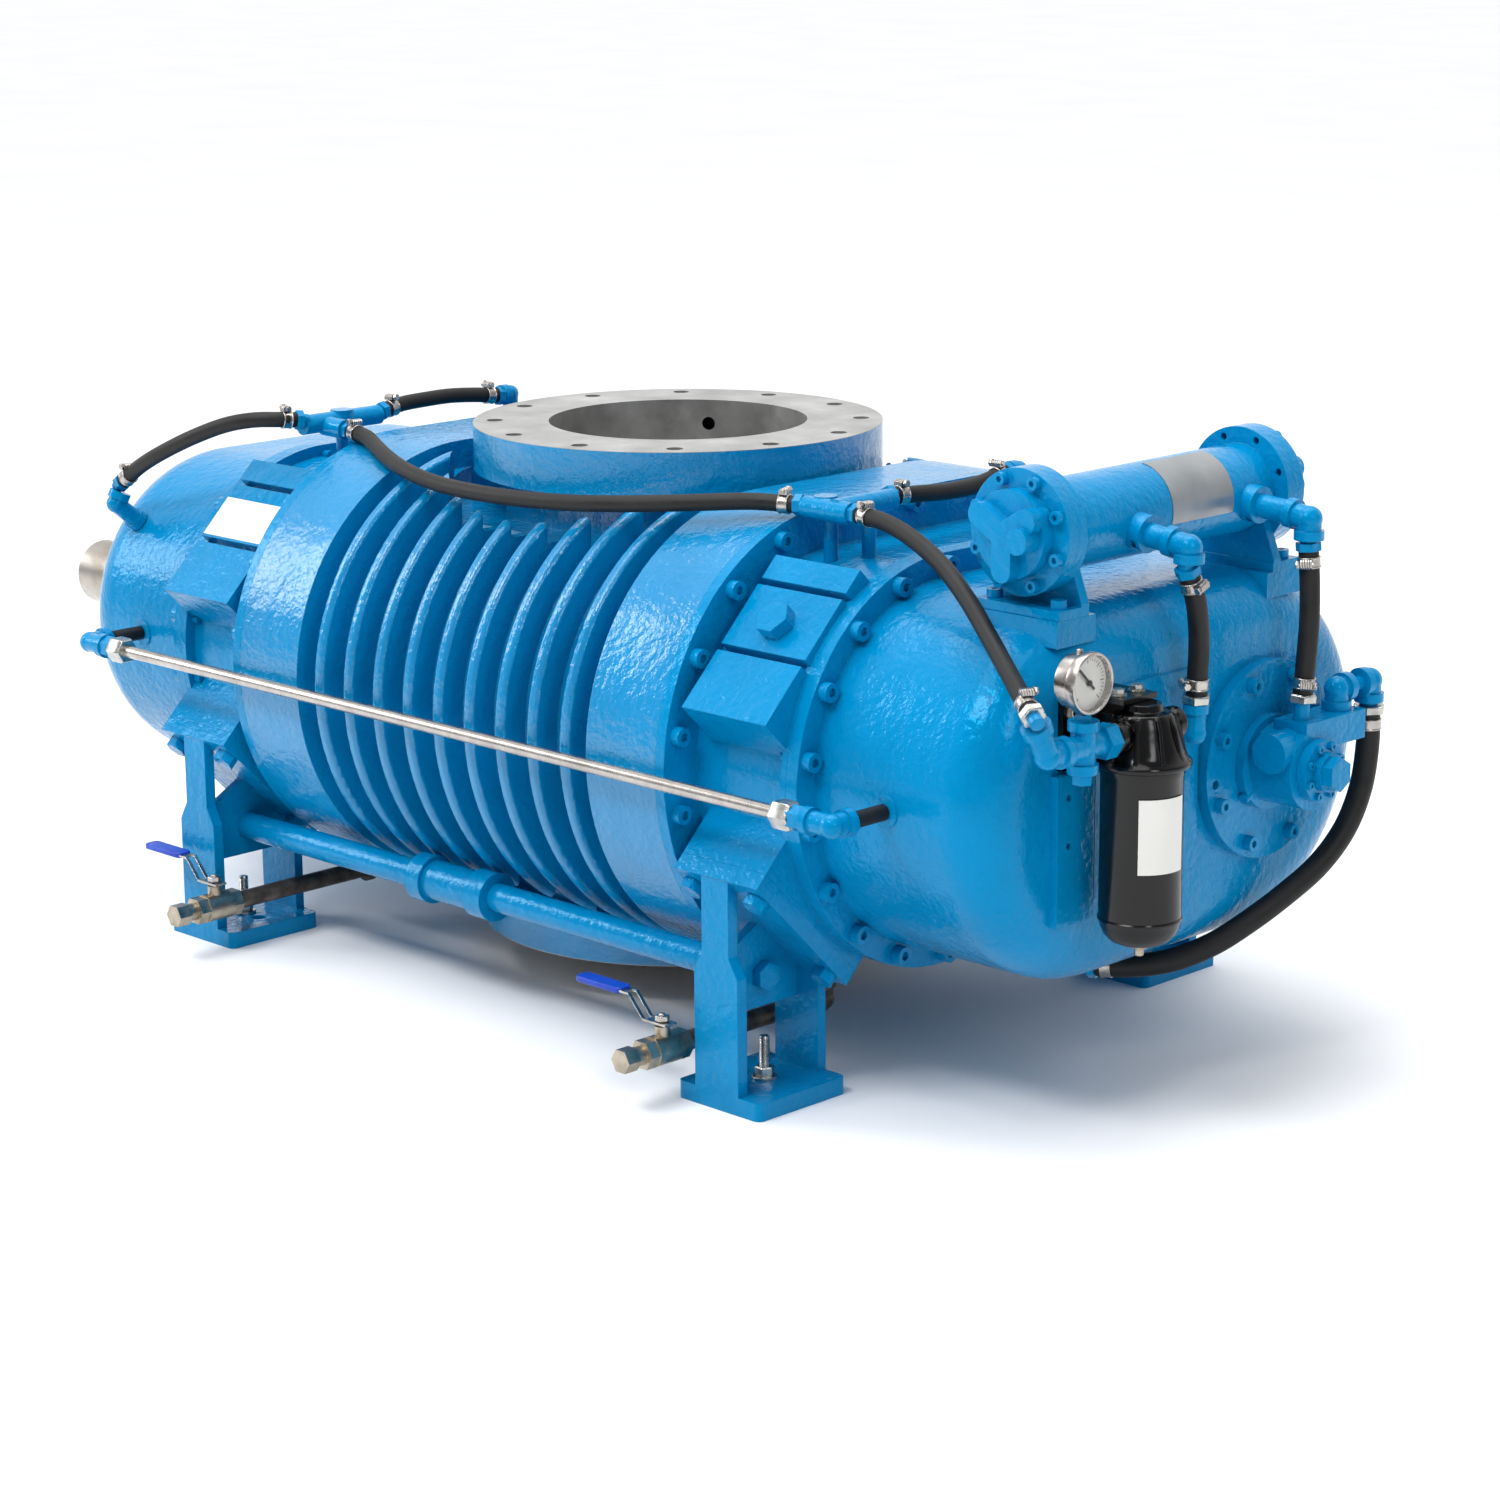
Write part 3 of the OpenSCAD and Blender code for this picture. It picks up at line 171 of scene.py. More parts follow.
def start(name):
    m = bpy.data.materials.new(name)
    m.use_nodes = True
    tree = m.node_tree
    place = add(tree, "TexCoord").outputs["Object"]
    return m, tree, place, tree.nodes["Principled BSDF"]


def noise(tree, place, scale, detail=3.0, roughness=0.55):
    return add(tree, "TexNoise", {"Vector": place, "Scale": scale, "Detail": detail,
                                  "Roughness": roughness}).outputs["Fac"]


def ramp(tree, fac, low, high, a, b):
    n = add(tree, "ValToRGB", {"Fac": fac})
    n.color_ramp.elements[0].position = low
    n.color_ramp.elements[1].position = high
    n.color_ramp.elements[0].color = a
    n.color_ramp.elements[1].color = b
    return n.outputs["Color"]


def mix(tree, fac, a, b):
    return add(tree, "MixRGB", {"Fac": fac, "Color1": a, "Color2": b}).outputs["Color"]


def maths(tree, operation, a, b=0.0):
    return add(tree, "Math", {0: a, 1: b}, operation=operation).outputs[0]


def bump(tree, height, distance, strength=1.0, under=None):
    inputs = {"Height": height, "Distance": distance, "Strength": strength}
    if under is not None:
        inputs["Normal"] = under
    return add(tree, "Bump", inputs).outputs["Normal"]


def soft_edges(tree, radius):
    """The surface's normal, with its sharp edges rounded off."""
    return add(tree, "Bevel", {"Radius": radius}, samples=4).outputs["Normal"]


def link(tree, bsdf, **sockets):
    """Links sockets to a shader's inputs, whose names are given with _ for the spaces."""
    for key, value in sockets.items():
        tree.links.new(value, bsdf.inputs[key.replace("_", " ")])


BLUE = srgb(0.0, 0.49, 0.70)
PAINT_EDGE, METAL_EDGE, GLOSS_EDGE = 0.0016, 0.0006, 0.001


def paint_nodes(tree, place):
    """Brushed and sprayed enamel over a casting: its colour, roughness and normal."""
    cloud = noise(tree, place, 5.0, 4.0)
    colour = ramp(tree, cloud, 0.3, 0.75, shade(BLUE, 0.86), shade(BLUE, 1.08))
    speck = ramp(tree, noise(tree, place, 90.0, 5.0, 0.7), 0.30, 0.42, grey(1), grey(0))
    colour = mix(tree, maths(tree, "MULTIPLY", speck, 0.18), colour, shade(BLUE, 0.55))
    rough = ramp(tree, noise(tree, place, 24.0), 0.3, 0.7, grey(0.11), grey(0.20))
    normal = soft_edges(tree, PAINT_EDGE)
    normal = bump(tree, noise(tree, place, 24.0, 2.0), 0.0032, 0.7, normal)
    normal = bump(tree, noise(tree, place, 120.0, 2.5), 0.0016, 0.85, normal)
    return colour, rough, normal


def paint():
    m, tree, place, bsdf = start("blue_enamel")
    colour, rough, normal = paint_nodes(tree, place)
    link(tree, bsdf, Base_Color=colour, Roughness=rough, Normal=normal)
    bsdf.inputs["Specular Tint"].default_value = (0.02, 0.55, 0.95, 1)
    bsdf.inputs["Specular IOR Level"].default_value = 0.4
    bsdf.inputs["Coat Weight"].default_value = 0.10
    bsdf.inputs["Coat Roughness"].default_value = 0.06
    return m


# Where the casing is bare, in metres: heights are from the shafts' plane, up or down, and
# radii from the flanges' axis, but for the chambers', which is from a shaft
FLANGE_FACE, FLANGE_BACK = 0.2994, 0.2465
BOLT_CIRCLE_R, BOLT_HOLE_R = 0.216, 0.0099
DUCT_R, DUCT_START = 0.1531, 0.1
CHAMBER_R = 0.1856
# the recess under the flange faces: bare, and painted near-black as painted shade
CAVITY_R, CAVITY_HEIGHT = (0.1534, 0.1775), (0.25, 0.299)


def casing_paint():
    """The same enamel, with the machined flange faces, ducts and chambers left bare, and the recess
    under the flange faces painted near-black as painted shade.
    """
    m, tree, place, bsdf = start("casing_enamel")
    colour, rough, normal = paint_nodes(tree, place)

    def above(value, limit):
        return maths(tree, "GREATER_THAN", value, limit)

    def below(value, limit):
        return maths(tree, "LESS_THAN", value, limit)

    def both(a, b):
        return maths(tree, "MULTIPLY", a, b)

    def either(a, b):
        return maths(tree, "MAXIMUM", a, b)

    def distance(a, b):
        return maths(tree, "SQRT", maths(tree, "ADD", maths(tree, "MULTIPLY", a, a),
                                         maths(tree, "MULTIPLY", b, b)))

    def apart(a, b):
        return maths(tree, "ABSOLUTE", maths(tree, "SUBTRACT", a, b))

    x, y, z = add(tree, "SeparateXYZ", {"Vector": place}).outputs
    up = apart(z, SHAFT_Z)
    radius = distance(x, y)
    face = above(up, FLANGE_FACE)
    hole = both(above(up, FLANGE_BACK), below(apart(radius, BOLT_CIRCLE_R), BOLT_HOLE_R))
    duct = both(below(radius, DUCT_R), above(up, DUCT_START))
    aside = maths(tree, "SUBTRACT", maths(tree, "ABSOLUTE", y), SHAFT_Y)
    chamber = below(distance(maths(tree, "MAXIMUM", aside, 0.0), up), CHAMBER_R)
    shaded_cavity = both(both(above(radius, CAVITY_R[0]), below(radius, CAVITY_R[1])),
                  both(above(up, CAVITY_HEIGHT[0]), below(up, CAVITY_HEIGHT[1])))
    bare = either(either(either(face, hole), either(duct, chamber)), shaded_cavity)

    stain = noise(tree, place, 14.0, 6.0, 0.65)
    bare_and_shaded_colour = ramp(tree, stain, 0.25, 0.8, srgb(0.50, 0.50, 0.49), srgb(0.74, 0.74, 0.73))
    # The recess under the flange faces is painted near-black: painted shade, darker than its bare
    # metal.
    bare_and_shaded_colour = mix(tree, shaded_cavity, bare_and_shaded_colour, srgb(0.05, 0.05, 0.05))
    bare_rough = ramp(tree, stain, 0.2, 0.8, grey(0.34), grey(0.52))
    lay = add(tree, "TexWave", {"Vector": place, "Scale": 60.0, "Distortion": 1.5, "Detail": 2.0},
              wave_type="RINGS", rings_direction="Z").outputs["Fac"]
    link(tree, bsdf, Base_Color=mix(tree, bare, colour, bare_and_shaded_colour),
         Roughness=mix(tree, bare, rough, bare_rough),
         Metallic=maths(tree, "MULTIPLY", bare, 0.75),
         Normal=mix(tree, bare, normal, bump(tree, lay, 0.0002, 0.35)))
    bsdf.inputs["Coat Weight"].default_value = 0.10
    bsdf.inputs["Coat Roughness"].default_value = 0.08
    return m


def metal(name, dark, light, rough=(0.22, 0.38), scale=40.0, grain=0.0003, metallic=1.0):
    """Bare metal with a mottled tone, uneven polish and fine grain."""
    m, tree, place, bsdf = start(name)
    tone = noise(tree, place, scale, 5.0, 0.6)
    polish = noise(tree, place, scale * 2.3)
    link(tree, bsdf, Base_Color=ramp(tree, tone, 0.3, 0.72, dark, light),
         Roughness=ramp(tree, polish, 0.3, 0.7, grey(rough[0]), grey(rough[1])),
         Normal=bump(tree, noise(tree, place, scale * 9, 2.0), grain, 0.5,
                     soft_edges(tree, METAL_EDGE)))
    bsdf.inputs["Metallic"].default_value = metallic
    return m


TURNING_PITCH = 0.0016


def turned_steel():
    """Turned shafts: fine rings round the X axis, with a brown storage stain."""
    m, tree, place, bsdf = start("turned_steel")
    x = add(tree, "SeparateXYZ", {"Vector": place}).outputs["X"]
    rings = maths(tree, "SINE", maths(tree, "MULTIPLY", x, math.tau / TURNING_PITCH))
    stain = noise(tree, place, 18.0, 5.0, 0.6)
    colour = ramp(tree, stain, 0.3, 0.75, srgb(0.57, 0.54, 0.50), srgb(0.74, 0.73, 0.71))
    link(tree, bsdf, Base_Color=colour,
         Roughness=ramp(tree, stain, 0.3, 0.7, grey(0.42), grey(0.24)),
         Normal=bump(tree, rings, 0.00012, 0.5))
    bsdf.inputs["Metallic"].default_value = 1.0
    return m


def rubber():
    m, tree, place, bsdf = start("hose_rubber")
    dust = noise(tree, place, 30.0, 6.0, 0.65)
    colour = ramp(tree, dust, 0.3, 0.8, srgb(0.045, 0.045, 0.05), srgb(0.13, 0.13, 0.13))
    link(tree, bsdf, Base_Color=colour,
         Roughness=ramp(tree, dust, 0.3, 0.7, grey(0.42), grey(0.62)),
         Normal=bump(tree, noise(tree, place, 900.0, 2.0), 0.0003, 0.6,
                     bump(tree, noise(tree, place, 60.0), 0.0005, 0.4)))
    bsdf.inputs["Specular IOR Level"].default_value = 0.28
    return m


def gloss(name, dark, light, rough=0.12):
    """A gloss finish over plastic or pressed steel, with faint peel."""
    m, tree, place, bsdf = start(name)
    tone, wear, peel = (noise(tree, place, scale) for scale in (60.0, 36.0, 120.0))
    link(tree, bsdf, Base_Color=ramp(tree, tone, 0.3, 0.7, dark, light),
         Roughness=ramp(tree, wear, 0.3, 0.7, grey(rough), grey(rough * 1.8)),
         Normal=bump(tree, peel, 0.0004, 0.4, soft_edges(tree, GLOSS_EDGE)))
    bsdf.inputs["Specular IOR Level"].default_value = 0.32
    return m


def clear_glass():
    m, tree, place, bsdf = start("gauge_glass")
    smear = noise(tree, place, 80.0)
    link(tree, bsdf, Roughness=ramp(tree, smear, 0.3, 0.7, grey(0), grey(0.06)))
    bsdf.inputs["Base Color"].default_value = (1, 1, 1, 1)
    bsdf.inputs["Transmission Weight"].default_value = 1.0
    bsdf.inputs["IOR"].default_value = 1.2
    return m


COOLER_X, COOLER_Z = 0.5, 0.55  # the cooler's plate is the only one past both


def plates():
    """Blank plates: white vinyl ones, and a bare aluminium one on the cooler's shell."""
    m, tree, place, bsdf = start("blank_plate")
    x, _, z = add(tree, "SeparateXYZ", {"Vector": place}).outputs
    cooler = maths(tree, "MULTIPLY", maths(tree, "GREATER_THAN", x, COOLER_X),
                   maths(tree, "GREATER_THAN", z, COOLER_Z))
    tone = noise(tree, place, 12.0)
    vinyl = ramp(tree, tone, 0.3, 0.7, srgb(0.83, 0.83, 0.81), srgb(0.85, 0.85, 0.83))
    aluminium = ramp(tree, tone, 0.3, 0.7, srgb(0.55, 0.57, 0.58), srgb(0.66, 0.67, 0.68))
    link(tree, bsdf, Base_Color=mix(tree, cooler, vinyl, aluminium),
         Roughness=ramp(tree, noise(tree, place, 70.0), 0.3, 0.7, grey(0.30), grey(0.42)),
         Metallic=maths(tree, "MULTIPLY", cooler, 0.8))
    return m


MATERIALS = {
    "casing_paint": casing_paint(),
    "machine_blue": paint(),
    "zinc": metal("zinc_plate", srgb(0.58, 0.58, 0.56), srgb(0.82, 0.82, 0.80)),
    "gloss_black": gloss("black_enamel", srgb(0.01, 0.01, 0.012), srgb(0.03, 0.03, 0.033)),
    "stainless": metal("stainless", srgb(0.62, 0.60, 0.58), srgb(0.73, 0.71, 0.69),
                       rough=(0.24, 0.32), grain=0.00006),
    "gauge_glass": clear_glass(),
    "needle_black": gloss("needle_black", srgb(0.02, 0.02, 0.02), srgb(0.05, 0.05, 0.05), 0.3),
    "copper": metal("copper", srgb(0.62, 0.38, 0.26), srgb(0.80, 0.50, 0.36)),
    "plate_white": plates(),
    "hose_rubber": rubber(),
    "black_pipe": metal("black_pipe", srgb(0.20, 0.18, 0.165), srgb(0.42, 0.38, 0.34),
                        rough=(0.35, 0.6), scale=50.0, grain=0.0006, metallic=0.6),
    "nickel_brass": metal("nickel_brass", srgb(0.54, 0.50, 0.44), srgb(0.74, 0.70, 0.63),
                          rough=(0.26, 0.42), scale=45.0, grain=0.0004),
    "bearing_steel": metal("bearing_steel", srgb(0.62, 0.62, 0.62), srgb(0.82, 0.82, 0.82),
                           rough=(0.1, 0.2)),
    "royal_sleeve": gloss("royal_sleeve", srgb(0.05, 0.20, 0.62), srgb(0.08, 0.27, 0.72), 0.25),
    "rotor_iron": metal("rotor_iron", srgb(0.30, 0.30, 0.30), srgb(0.50, 0.50, 0.50),
                        rough=(0.35, 0.5)),
    "machined_steel": turned_steel(),
}
for part in frame["record"]["subparts"]:
    for holder in NODES[part["node"]].material_slots:
        holder.material = MATERIALS[part["material_slot"]]
for hose in HOSES:
    hose.data.materials.append(MATERIALS["hose_rubber"])


# Finer pieces, in millimetres -----------------------------------------------------
SHARP_ANGLE = math.radians(32)


class Piece:
    """A finer piece built as mesh in the shared frame, in millimetres; each call adds one shape."""

    def __init__(self, name, slot, body="blower", look=None, node=None, bevel=0.0):
        self.name, self.slot, self.body = name, slot, body
        self.node, self.bevel = node, bevel
        self.look = MATERIALS[look or slot]
        self.mesh = bmesh.new()

    def rings(self, loops, closed=False):
        """Faces between loops of points, capped at both ends unless they close on themselves."""
        rows = [[self.mesh.verts.new(p * MM) for p in loop] for loop in loops]
        n = len(rows[0])
        for a, b in zip(rows, rows[1:] + ([rows[0]] if closed else [])):
            for i in range(n):
                self.mesh.faces.new((a[i], a[(i + 1) % n], b[(i + 1) % n], b[i]))
        if not closed:
            self.mesh.faces.new(rows[0][::-1])
            self.mesh.faces.new(rows[-1])

    def lathe(self, profile, at, along, steps=48, closed=False):
        """Revolves (radius, height) pairs round the line through a point."""
        turn = Vector(along).to_track_quat("Z", "Y")
        self.rings([[Vector(at) + turn @ Vector((r * math.cos(k * math.tau / steps),
                                                 r * math.sin(k * math.tau / steps), h))
                     for k in range(steps)] for r, h in profile], closed)

    def prism(self, outline, z0, z1, place):
        """Extrudes an outline between two heights of a placed frame."""
        self.rings([[place @ Vector((x, y, z)) for x, y in outline] for z in (z0, z1)])

    def hexagon(self, radius, z0, z1, at, along):
        """A hexagon with its corners turned off at both ends."""
        turn = Vector(along).to_track_quat("Z", "Y")
        low, chamfer = radius * 0.88, (z1 - z0) * 0.14
        profile = (low, z0), (radius, z0 + chamfer), (radius, z1 - chamfer), (low, z1)
        self.rings([[Vector(at) + turn @ Vector((r * math.cos(k * math.tau / 6),
                                                 r * math.sin(k * math.tau / 6), h))
                     for k in range(6)] for r, h in profile])

    def done(self):
        bmesh.ops.recalc_face_normals(self.mesh, faces=self.mesh.faces)
        data = bpy.data.meshes.new(self.name)
        self.mesh.to_mesh(data)
        self.mesh.free()
        data.polygons.foreach_set("use_smooth", [True] * len(data.polygons))
        data.set_sharp_from_angle(angle=SHARP_ANGLE)
        data.materials.append(self.look)
        piece = bpy.data.objects.new(self.name, data)
        bpy.context.scene.collection.objects.link(piece)
        if self.bevel:
            rounding = piece.modifiers.new("rounding", "BEVEL")
            rounding.width = self.bevel * MM
            rounding.segments = 2
            rounding.limit_method = "ANGLE"
        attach(piece, self.body)
        if self.node:
            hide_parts(self.node)


def frame_at(at, z_axis, x_axis):
    """The frame with a given origin, height direction and first direction."""
    z = Vector(z_axis).normalized()
    x = (Vector(x_axis) - Vector(x_axis).dot(z) * z).normalized()
    return Matrix.Translation(at) @ Matrix((x, z.cross(x), z)).transposed().to_4x4()


def rounded(w, h, r, n=4):
    """A rectangle of width w and height h with its corners rounded."""
    return [(sx * (w / 2 - r) + r * math.cos(a), sy * (h / 2 - r) + r * math.sin(a))
            for q, (sx, sy) in enumerate(((1, 1), (-1, 1), (-1, -1), (1, -1)))
            for a in [(q + i / n) * math.pi / 2 for i in range(n + 1)]]


GAUGE = Vector((850, -258, 507))
CROSS = Vector((838, -254, 440))
FILTER = Vector((838, -160, 0))
X_AXIS, Z_AXIS = Vector((1, 0, 0)), Vector((0, 0, 1))
TICKS, FIRST_TICK, TICK_STEP, LONG_EVERY = 31, 135, 9, 5  # the angles in degrees


def make_gauge():
    case = Piece("gauge_case.body", "stainless", node="gauge_case")
    case.lathe([(0.5, -26), (25, -26), (27.5, -24.5), (28, -22), (28, -10), (27.2, -9.2),
                (27.2, -8.4), (30.4, -8), (31.2, -7.2), (31.5, -5.8), (31.5, 1.6), (31, 3.2),
                (29.9, 4), (28.7, 3.9), (28.1, 3), (28, -6), (0.5, -6)], GAUGE, X_AXIS, 72)
    vent = GAUGE + Vector((-15, 0, 27))
    case.lathe([(3.4, 0), (3.4, 5), (2.6, 6), (0.4, 6)], vent, Z_AXIS, 24)
    case.done()
    stem = Piece("gauge_case.stem", "nickel_brass")
    foot = CROSS + Vector((0, 0, 34.5))
    top = GAUGE + Vector((-14, 2, -25))
    stem.lathe([(6.5, 0), (6.5, (top - foot).length)], foot, top - foot, 32)
    stem.hexagon(9.5, 5, 15, foot, top - foot)
    stem.done()
    dial = Piece("gauge_case.dial", "plate_white")
    dial.lathe([(0.3, -6.2), (27.9, -6.2), (27.9, -5), (0.3, -5)], GAUGE, X_AXIS, 72)
    dial.done()
    ticks = Piece("gauge_case.ticks", "needle_black")
    for k in range(TICKS):
        a = math.radians(FIRST_TICK - TICK_STEP * k)
        out = Vector((0, -math.sin(a), math.cos(a)))
        middle, length, width = (22.5, 5.4, 0.9) if k % LONG_EVERY == 0 else (23.7, 3.2, 0.5)
        place = frame_at(GAUGE + X_AXIS * -5 + out * middle, X_AXIS, out)
        ticks.prism(rounded(length, width, 0.1, 1), -0.1, 0.12, place)
    ticks.done()


def make_filter():
    head = Piece("filter_head.casting", "gloss_black", node="filter_head", bevel=0.8)
    head.lathe([(0.5, 404), (44.6, 404), (49, 405), (50.6, 407.5), (50.4, 410.5), (48, 413),
                (44.5, 416), (41, 424), (37, 436), (33.5, 448), (31, 456), (28, 460),
                (20, 462), (18.5, 469.5), (0.5, 469.5)], FILTER, Z_AXIS, 72)
    rib = [(30, 412), (47.5, 412), (44, 420), (38, 446), (32, 458), (26, 460)]
    for k in range(10):
        a = math.radians(36 * k + 12)
        out = Vector((math.cos(a), math.sin(a), 0))
        place = Matrix((out, Z_AXIS, -Z_AXIS.cross(out))).transposed().to_4x4()
        head.prism(rib, -2.2, 2.2, Matrix.Translation(FILTER) @ place)
    port = [(15, 0), (15, 10), (17.5, 11.5), (17.5, 20), (16.5, 21.5), (10.4, 21.5),
            (10.4, 12), (0.5, 12)]
    for y, way in ((-30, -1), (30, 1)):
        head.lathe(port, FILTER + Vector((0, y, 440)), (0, way, 0))
    head.prism(rounded(46, 50, 6), 424, 458, Matrix.Translation(FILTER + Vector((-17, 0, 0))))
    head.done()
    bowl = Piece("filter_bowl.shell", "gloss_black", node="filter_bowl")
    bowl.lathe([(0.5, 216.5), (22, 217), (31, 221), (37.5, 228), (41, 236), (42.6, 242),
                (43.6, 243.5), (43.6, 245.5), (42.6, 247), (42.6, 396), (43.8, 398),
                (43.8, 404), (0.5, 404)], FILTER, Z_AXIS, 72)
    bowl.done()
    drain = Piece("filter_bowl.drain", "nickel_brass")
    drain.hexagon(10, 211, 219, FILTER, Z_AXIS)
    drain.lathe([(0.4, 203), (4, 203), (5, 204), (5, 212), (0.4, 212)], FILTER, Z_AXIS, 24)
    drain.done()
    bolts = Piece("filter_bracket.bolts", "zinc")
    for x, y in ((818, -176), (818, -147)):
        bolts.lathe([(0.4, 476), (9, 476), (9, 477.6), (0.4, 477.6)], (x, y, 0), Z_AXIS, 32)
        bolts.hexagon(7, 477.5, 483, (x, y, 0), Z_AXIS)
    for y in (-182, -200):
        for z in (412, 456):
            bolts.lathe([(0.4, 0), (7.5, 0), (7.5, 1.4), (0.4, 1.4)], (777, y, z), X_AXIS, 32)
            bolts.hexagon(5.8, 1.3, 6, (777, y, z), X_AXIS)
    bolts.done()


BAND_START, BAND_WIDTH = 6, 12
RIBS, RIB_PITCH, RIB_HALF = (-2, -1, 0, 1, 2), 2.6, 1.1  # of the clamp screw's housing


def make_clamps():
    bands = Piece("hose_clamps.bands", "stainless", node="hose_clamps", bevel=0.3)
    for radius, route in ROUTES.values():
        r = radius / MM
        band = [(r - 0.2, 0), (r + 1.3, 0), (r + 1.8, 0.9), (r + 1.1, 2), (r + 1.1, 10),
                (r + 1.8, 11.1), (r + 1.3, BAND_WIDTH), (r - 0.2, BAND_WIDTH)]
        top = r + 4.2
        housing = [(top - 3.2, -5.2), (top + 1.4, -5.2), (top + 3.4, -3), (top + 3.4, 3),
                   (top + 1.4, 5.2), (top - 3.2, 5.2)]
        for a, b in ((route[0], route[1]), (route[-1], route[-2])):
            along = (Vector(b) - Vector(a)).normalized()
            at = Vector(a) + along * BAND_START
            bands.lathe(band, at, along, 40, closed=True)
            level = abs(along.z) < 0.7
            aside = Z_AXIS if level else along.cross(Z_AXIS)
            place = frame_at(at + along * BAND_WIDTH / 2,
                             along.cross(aside - aside.dot(along) * along), aside)
            for k in RIBS:
                middle = k * RIB_PITCH
                bands.prism(housing, middle - RIB_HALF, middle + RIB_HALF, place)
            bands.lathe([(0.3, -8), (2.4, -8), (2.4, 7), (4.3, 7.2), (4.6, 8), (4.6, 10.6),
                         (4.0, 11.4), (0.3, 11.4)],
                        place @ Vector((top + 0.4, 0, 0)), place.to_3x3() @ Z_AXIS, 6)
    bands.done()


COLLAR_HOSES = (("hose_pump_suction", 0), ("hose_cooler_feed", -1), ("hose_cooler_return", -1),
                ("hose_filter_feed", -1))
SIDE_TUBE_X, SIDE_TUBE_Y = 558, -404
SLEEVE_X, SLEEVE_Y = 636, -371
SIDE_TUBE_Z = SHAFT_Z / MM


def make_collars():
    """Bare nipples under four clamps, and the nuts and black sleeves of the side oil tube."""
    collars = Piece("hose_fittings.collars", "zinc", bevel=0.3)
    for name, end in COLLAR_HOSES:
        radius, route = ROUTES[name]
        a, b = Vector(route[end]), Vector(route[end + 1 if end == 0 else end - 1])
        collars.hexagon(radius / MM * 1.46, -0.4, 9.4, a, a - b)
    collars.done()
    sleeves = Piece("side_tube_fittings.sleeves", "hose_rubber")
    nuts = Piece("side_tube_fittings.nuts", "zinc", bevel=0.4)
    for side in (-1, 1):
        nuts.hexagon(16.6, 0, 26, (side * SIDE_TUBE_X, SIDE_TUBE_Y, SIDE_TUBE_Z), (side, 0, 0))
        sleeves.lathe([(7.2, 0), (8.8, 0.5), (8.8, 43), (7.2, 43.5)],
                      (side * SLEEVE_X, SLEEVE_Y, SIDE_TUBE_Z), (0, 1, 0), 32)
    sleeves.done()
    nuts.done()


VALVE_X, VALVE_Y = 392, -411
BALL_Z, BALL_R = 60, 11.9
LEVER_T = 2.6


def make_levers():
    """The levers of both drain valves, shut as in the photo."""
    ball = [(BALL_R * math.cos(math.radians(a)), BALL_Z + BALL_R * math.sin(math.radians(a)))
            for a in range(-80, 75, 10)]
    stem = [(3.9, 71.5), (3.9, 99), (3, 100), (0.3, 100)]
    line = [(13, 88), (-22, 88), (-44, 112), (-66, 112)]
    back = [(-66, 114.6), (-45.2, 114.6), (-23.2, 90.6), (13, 90.6)]
    upright = Matrix((X_AXIS, Z_AXIS, Vector((0, -1, 0)))).transposed().to_4x4()
    for side, body, node in ((-1, "drive_lever", "drive_drain_lever"),
                             (1, "gear_lever", "gear_drain_lever")):
        axis = Vector((side * VALVE_X, VALVE_Y, 0))
        at_axis = Matrix.Translation(axis)
        steel = Piece(node + ".steel", "stainless", body, node=node, bevel=0.5)
        steel.lathe([(0.3, 48.5), *ball, *stem], axis, Z_AXIS, 32)
        steel.hexagon(8.2, 91, 97.5, axis, Z_AXIS)
        for y0, y1 in ((-8.5, -3.8), (3.8, 8.5)):
            steel.prism(line + back, -y1, -y0, at_axis @ upright)
        for x0, x1, z0 in ((-20, 13, 88), (-66, -50, 112)):
            web = [(x0, -4), (x1, -4), (x1, 4), (x0, 4)]
            steel.prism(web, z0, z0 + LEVER_T, at_axis)
        steel.done()
        sleeve = Piece(node + ".sleeve", "machine_blue", body, look="royal_sleeve", bevel=1.6)
        sleeve.prism(rounded(72, 21, 7, 6), 110.2, 117,
                     Matrix.Translation(axis + Vector((-92, 0, 0))))
        sleeve.done()


STUD_X, STUD_Y = 455, 320
PITCH, ROOT_R, CREST_R = 1.75, 5.2, 6


def make_studs():
    studs = Piece("levelling_screws.studs", "zinc", node="levelling_screws")
    thread = [(r, z) for k in range(37)
              for r, z in ((ROOT_R, 1.2 + PITCH * k), (CREST_R, 2.07 + PITCH * k))]
    for sx in (-1, 1):
        for sy in (-1, 1):
            at = Vector((sx * STUD_X, sy * STUD_Y, 0))
            studs.lathe([(0.3, 1), *thread, (5, 67.4), (0.3, 68)], at, Z_AXIS, 20)
            studs.lathe([(0.3, 20.1), (14, 20.1), (14, 22.4), (13.4, 23), (0.3, 23)],
                        at, Z_AXIS, 40)
            studs.hexagon(10.9, 23, 33.5, at, Z_AXIS)
    studs.done()


make_gauge()
make_filter()
make_clamps()
make_collars()
make_levers()
make_studs()


# Stage ---------------------------------------------------------------------------
FLOOR_HALF = 70  # metres


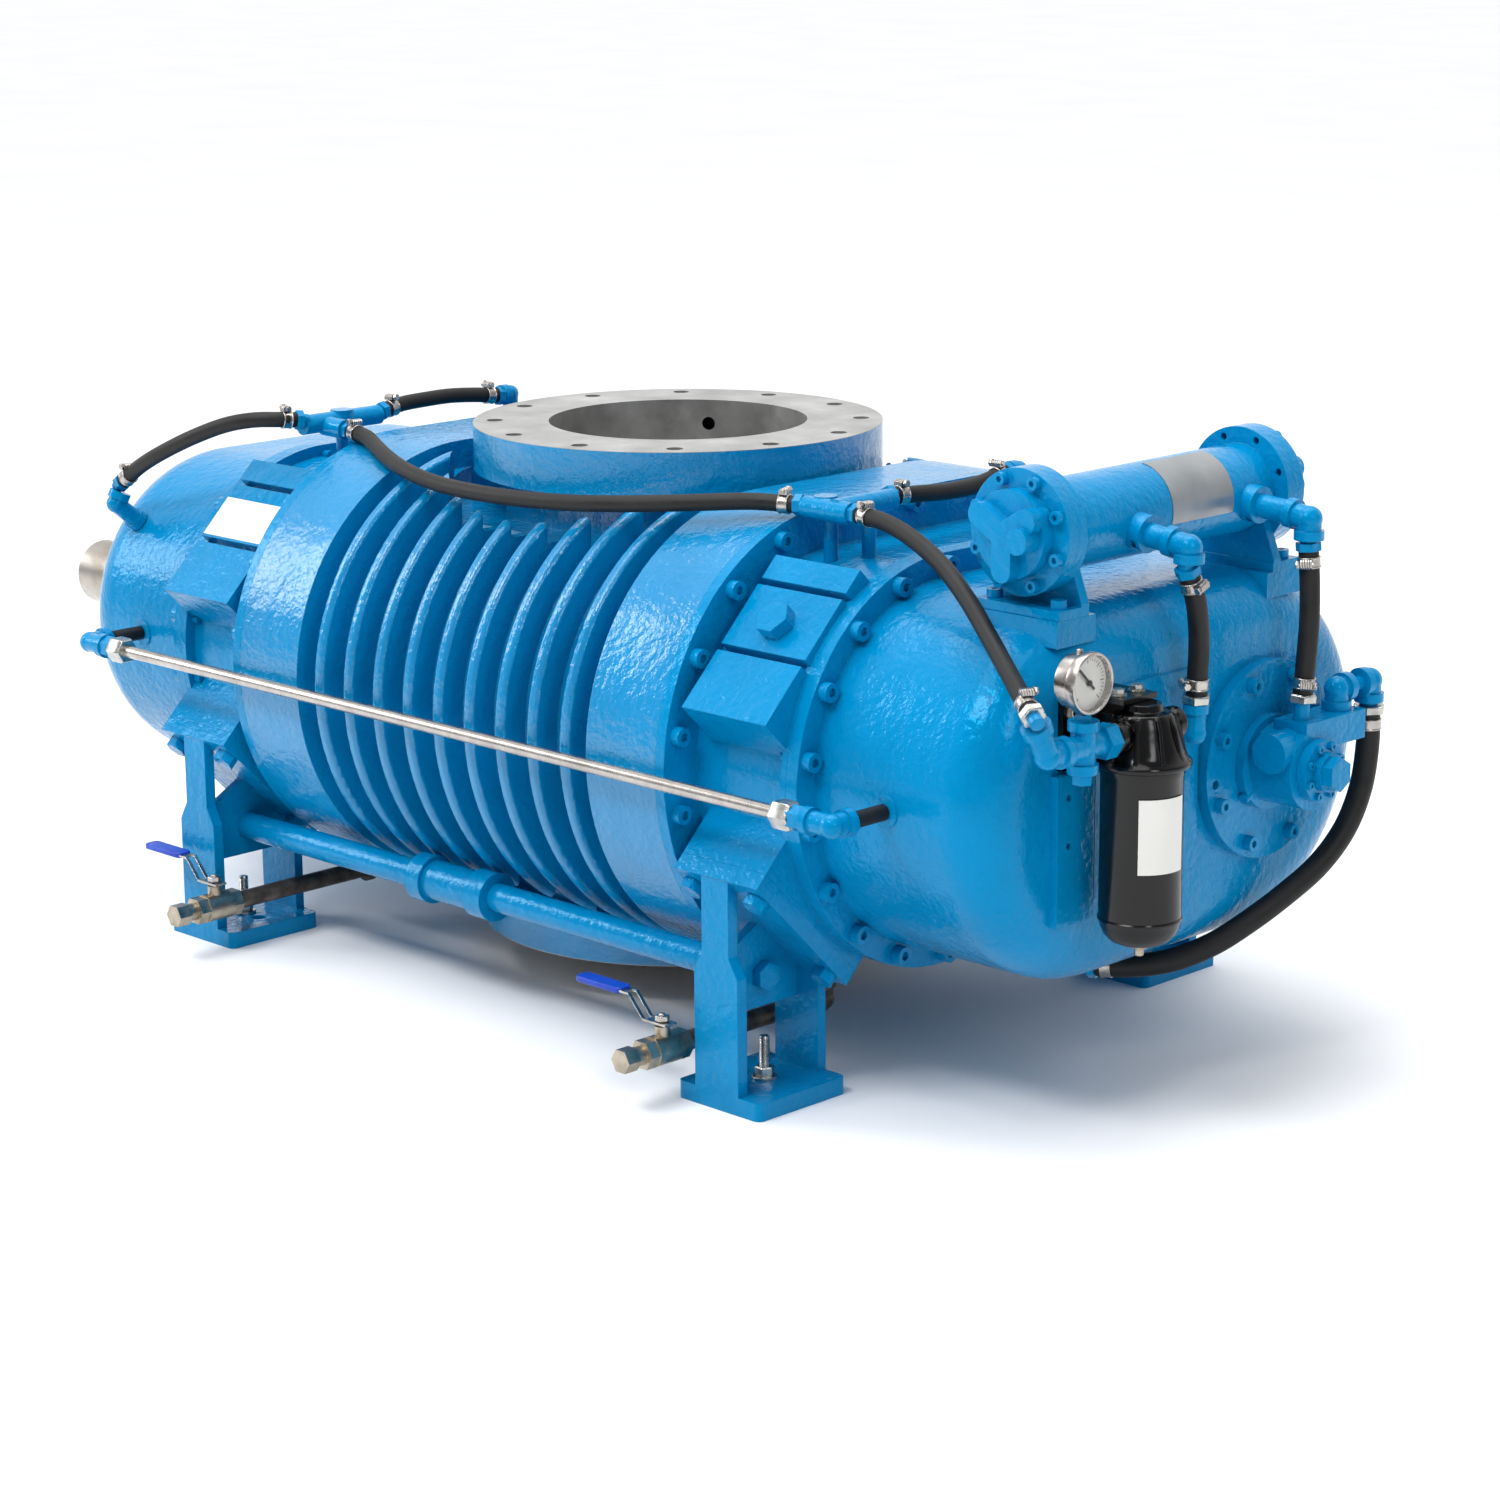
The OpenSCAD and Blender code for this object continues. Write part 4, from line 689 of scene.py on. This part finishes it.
def make_floor():
    mesh = bpy.data.meshes.new("floor")
    s = FLOOR_HALF
    mesh.from_pydata([(-s, -s, 0), (s, -s, 0), (s, s, 0), (-s, s, 0)], [], [(0, 1, 2, 3)])
    floor = bpy.data.objects.new("floor", mesh)
    bpy.context.scene.collection.objects.link(floor)
    m, tree, place, bsdf = start("pale_floor")
    tone = noise(tree, place, 2.0)
    link(tree, bsdf, Base_Color=ramp(tree, tone, 0.3, 0.7, grey(0.86), grey(0.89)))
    bsdf.inputs["Roughness"].default_value = 0.7
    bsdf.inputs["Specular IOR Level"].default_value = 0.15
    mesh.materials.append(m)


def make_light(name, at, aim, size, power):
    lamp = bpy.data.lights.new(name, "AREA")
    lamp.shape = "RECTANGLE"
    lamp.size, lamp.size_y = size
    lamp.energy = power
    o = bpy.data.objects.new(name, lamp)
    o.location = at
    o.rotation_euler = (Vector(aim) - Vector(at)).to_track_quat("-Z", "Y").to_euler()
    bpy.context.scene.collection.objects.link(o)


SUN_POWER, SUN_WIDTH = 1.5, 50


def make_sun():
    """Even light over the whole floor, so that it stays pale far behind the machine."""
    lamp = bpy.data.lights.new("ceiling", "SUN")
    lamp.energy = SUN_POWER
    lamp.angle = math.radians(SUN_WIDTH)
    o = bpy.data.objects.new("ceiling", lamp)
    o.rotation_euler = (math.radians(14), math.radians(-8), 0)
    bpy.context.scene.collection.objects.link(o)


def make_world():
    """A pale room: brighter where the camera looks, darker behind it."""
    world = bpy.data.worlds.new("studio")
    world.use_nodes = True
    tree = world.node_tree
    way = add(tree, "TexCoord").outputs["Generated"]
    backdrop = add(tree, "VectorMath", {0: way, 1: (math.cos(YAW), math.sin(YAW), 0.25)},
                   operation="DOT_PRODUCT").outputs["Value"]
    sky = ramp(tree, backdrop, 0.0, 0.55, (0.30, 0.31, 0.33, 1), grey(1))
    back = tree.nodes["Background"]
    tree.links.new(sky, back.inputs["Color"])
    back.inputs["Strength"].default_value = 1.08
    bpy.context.scene.world = world


make_floor()
make_world()
make_light("key", (0.2, -3.0, 3.8), (0.1, 0, 0.4), (2.4, 0.9), 95)
make_light("left", (-3.4, -2.2, 2.2), (-0.3, 0, 0.4), (0.9, 2.0), 45)
make_light("right", (3.6, -1.2, 2.4), (0.3, 0, 0.4), (0.8, 1.8), 30)
make_light("top", (-0.3, 0.6, 4.0), (0, 0, 0.4), (4.0, 1.6), 60)
make_sun()
bpy.context.scene.view_settings.view_transform = "Standard"
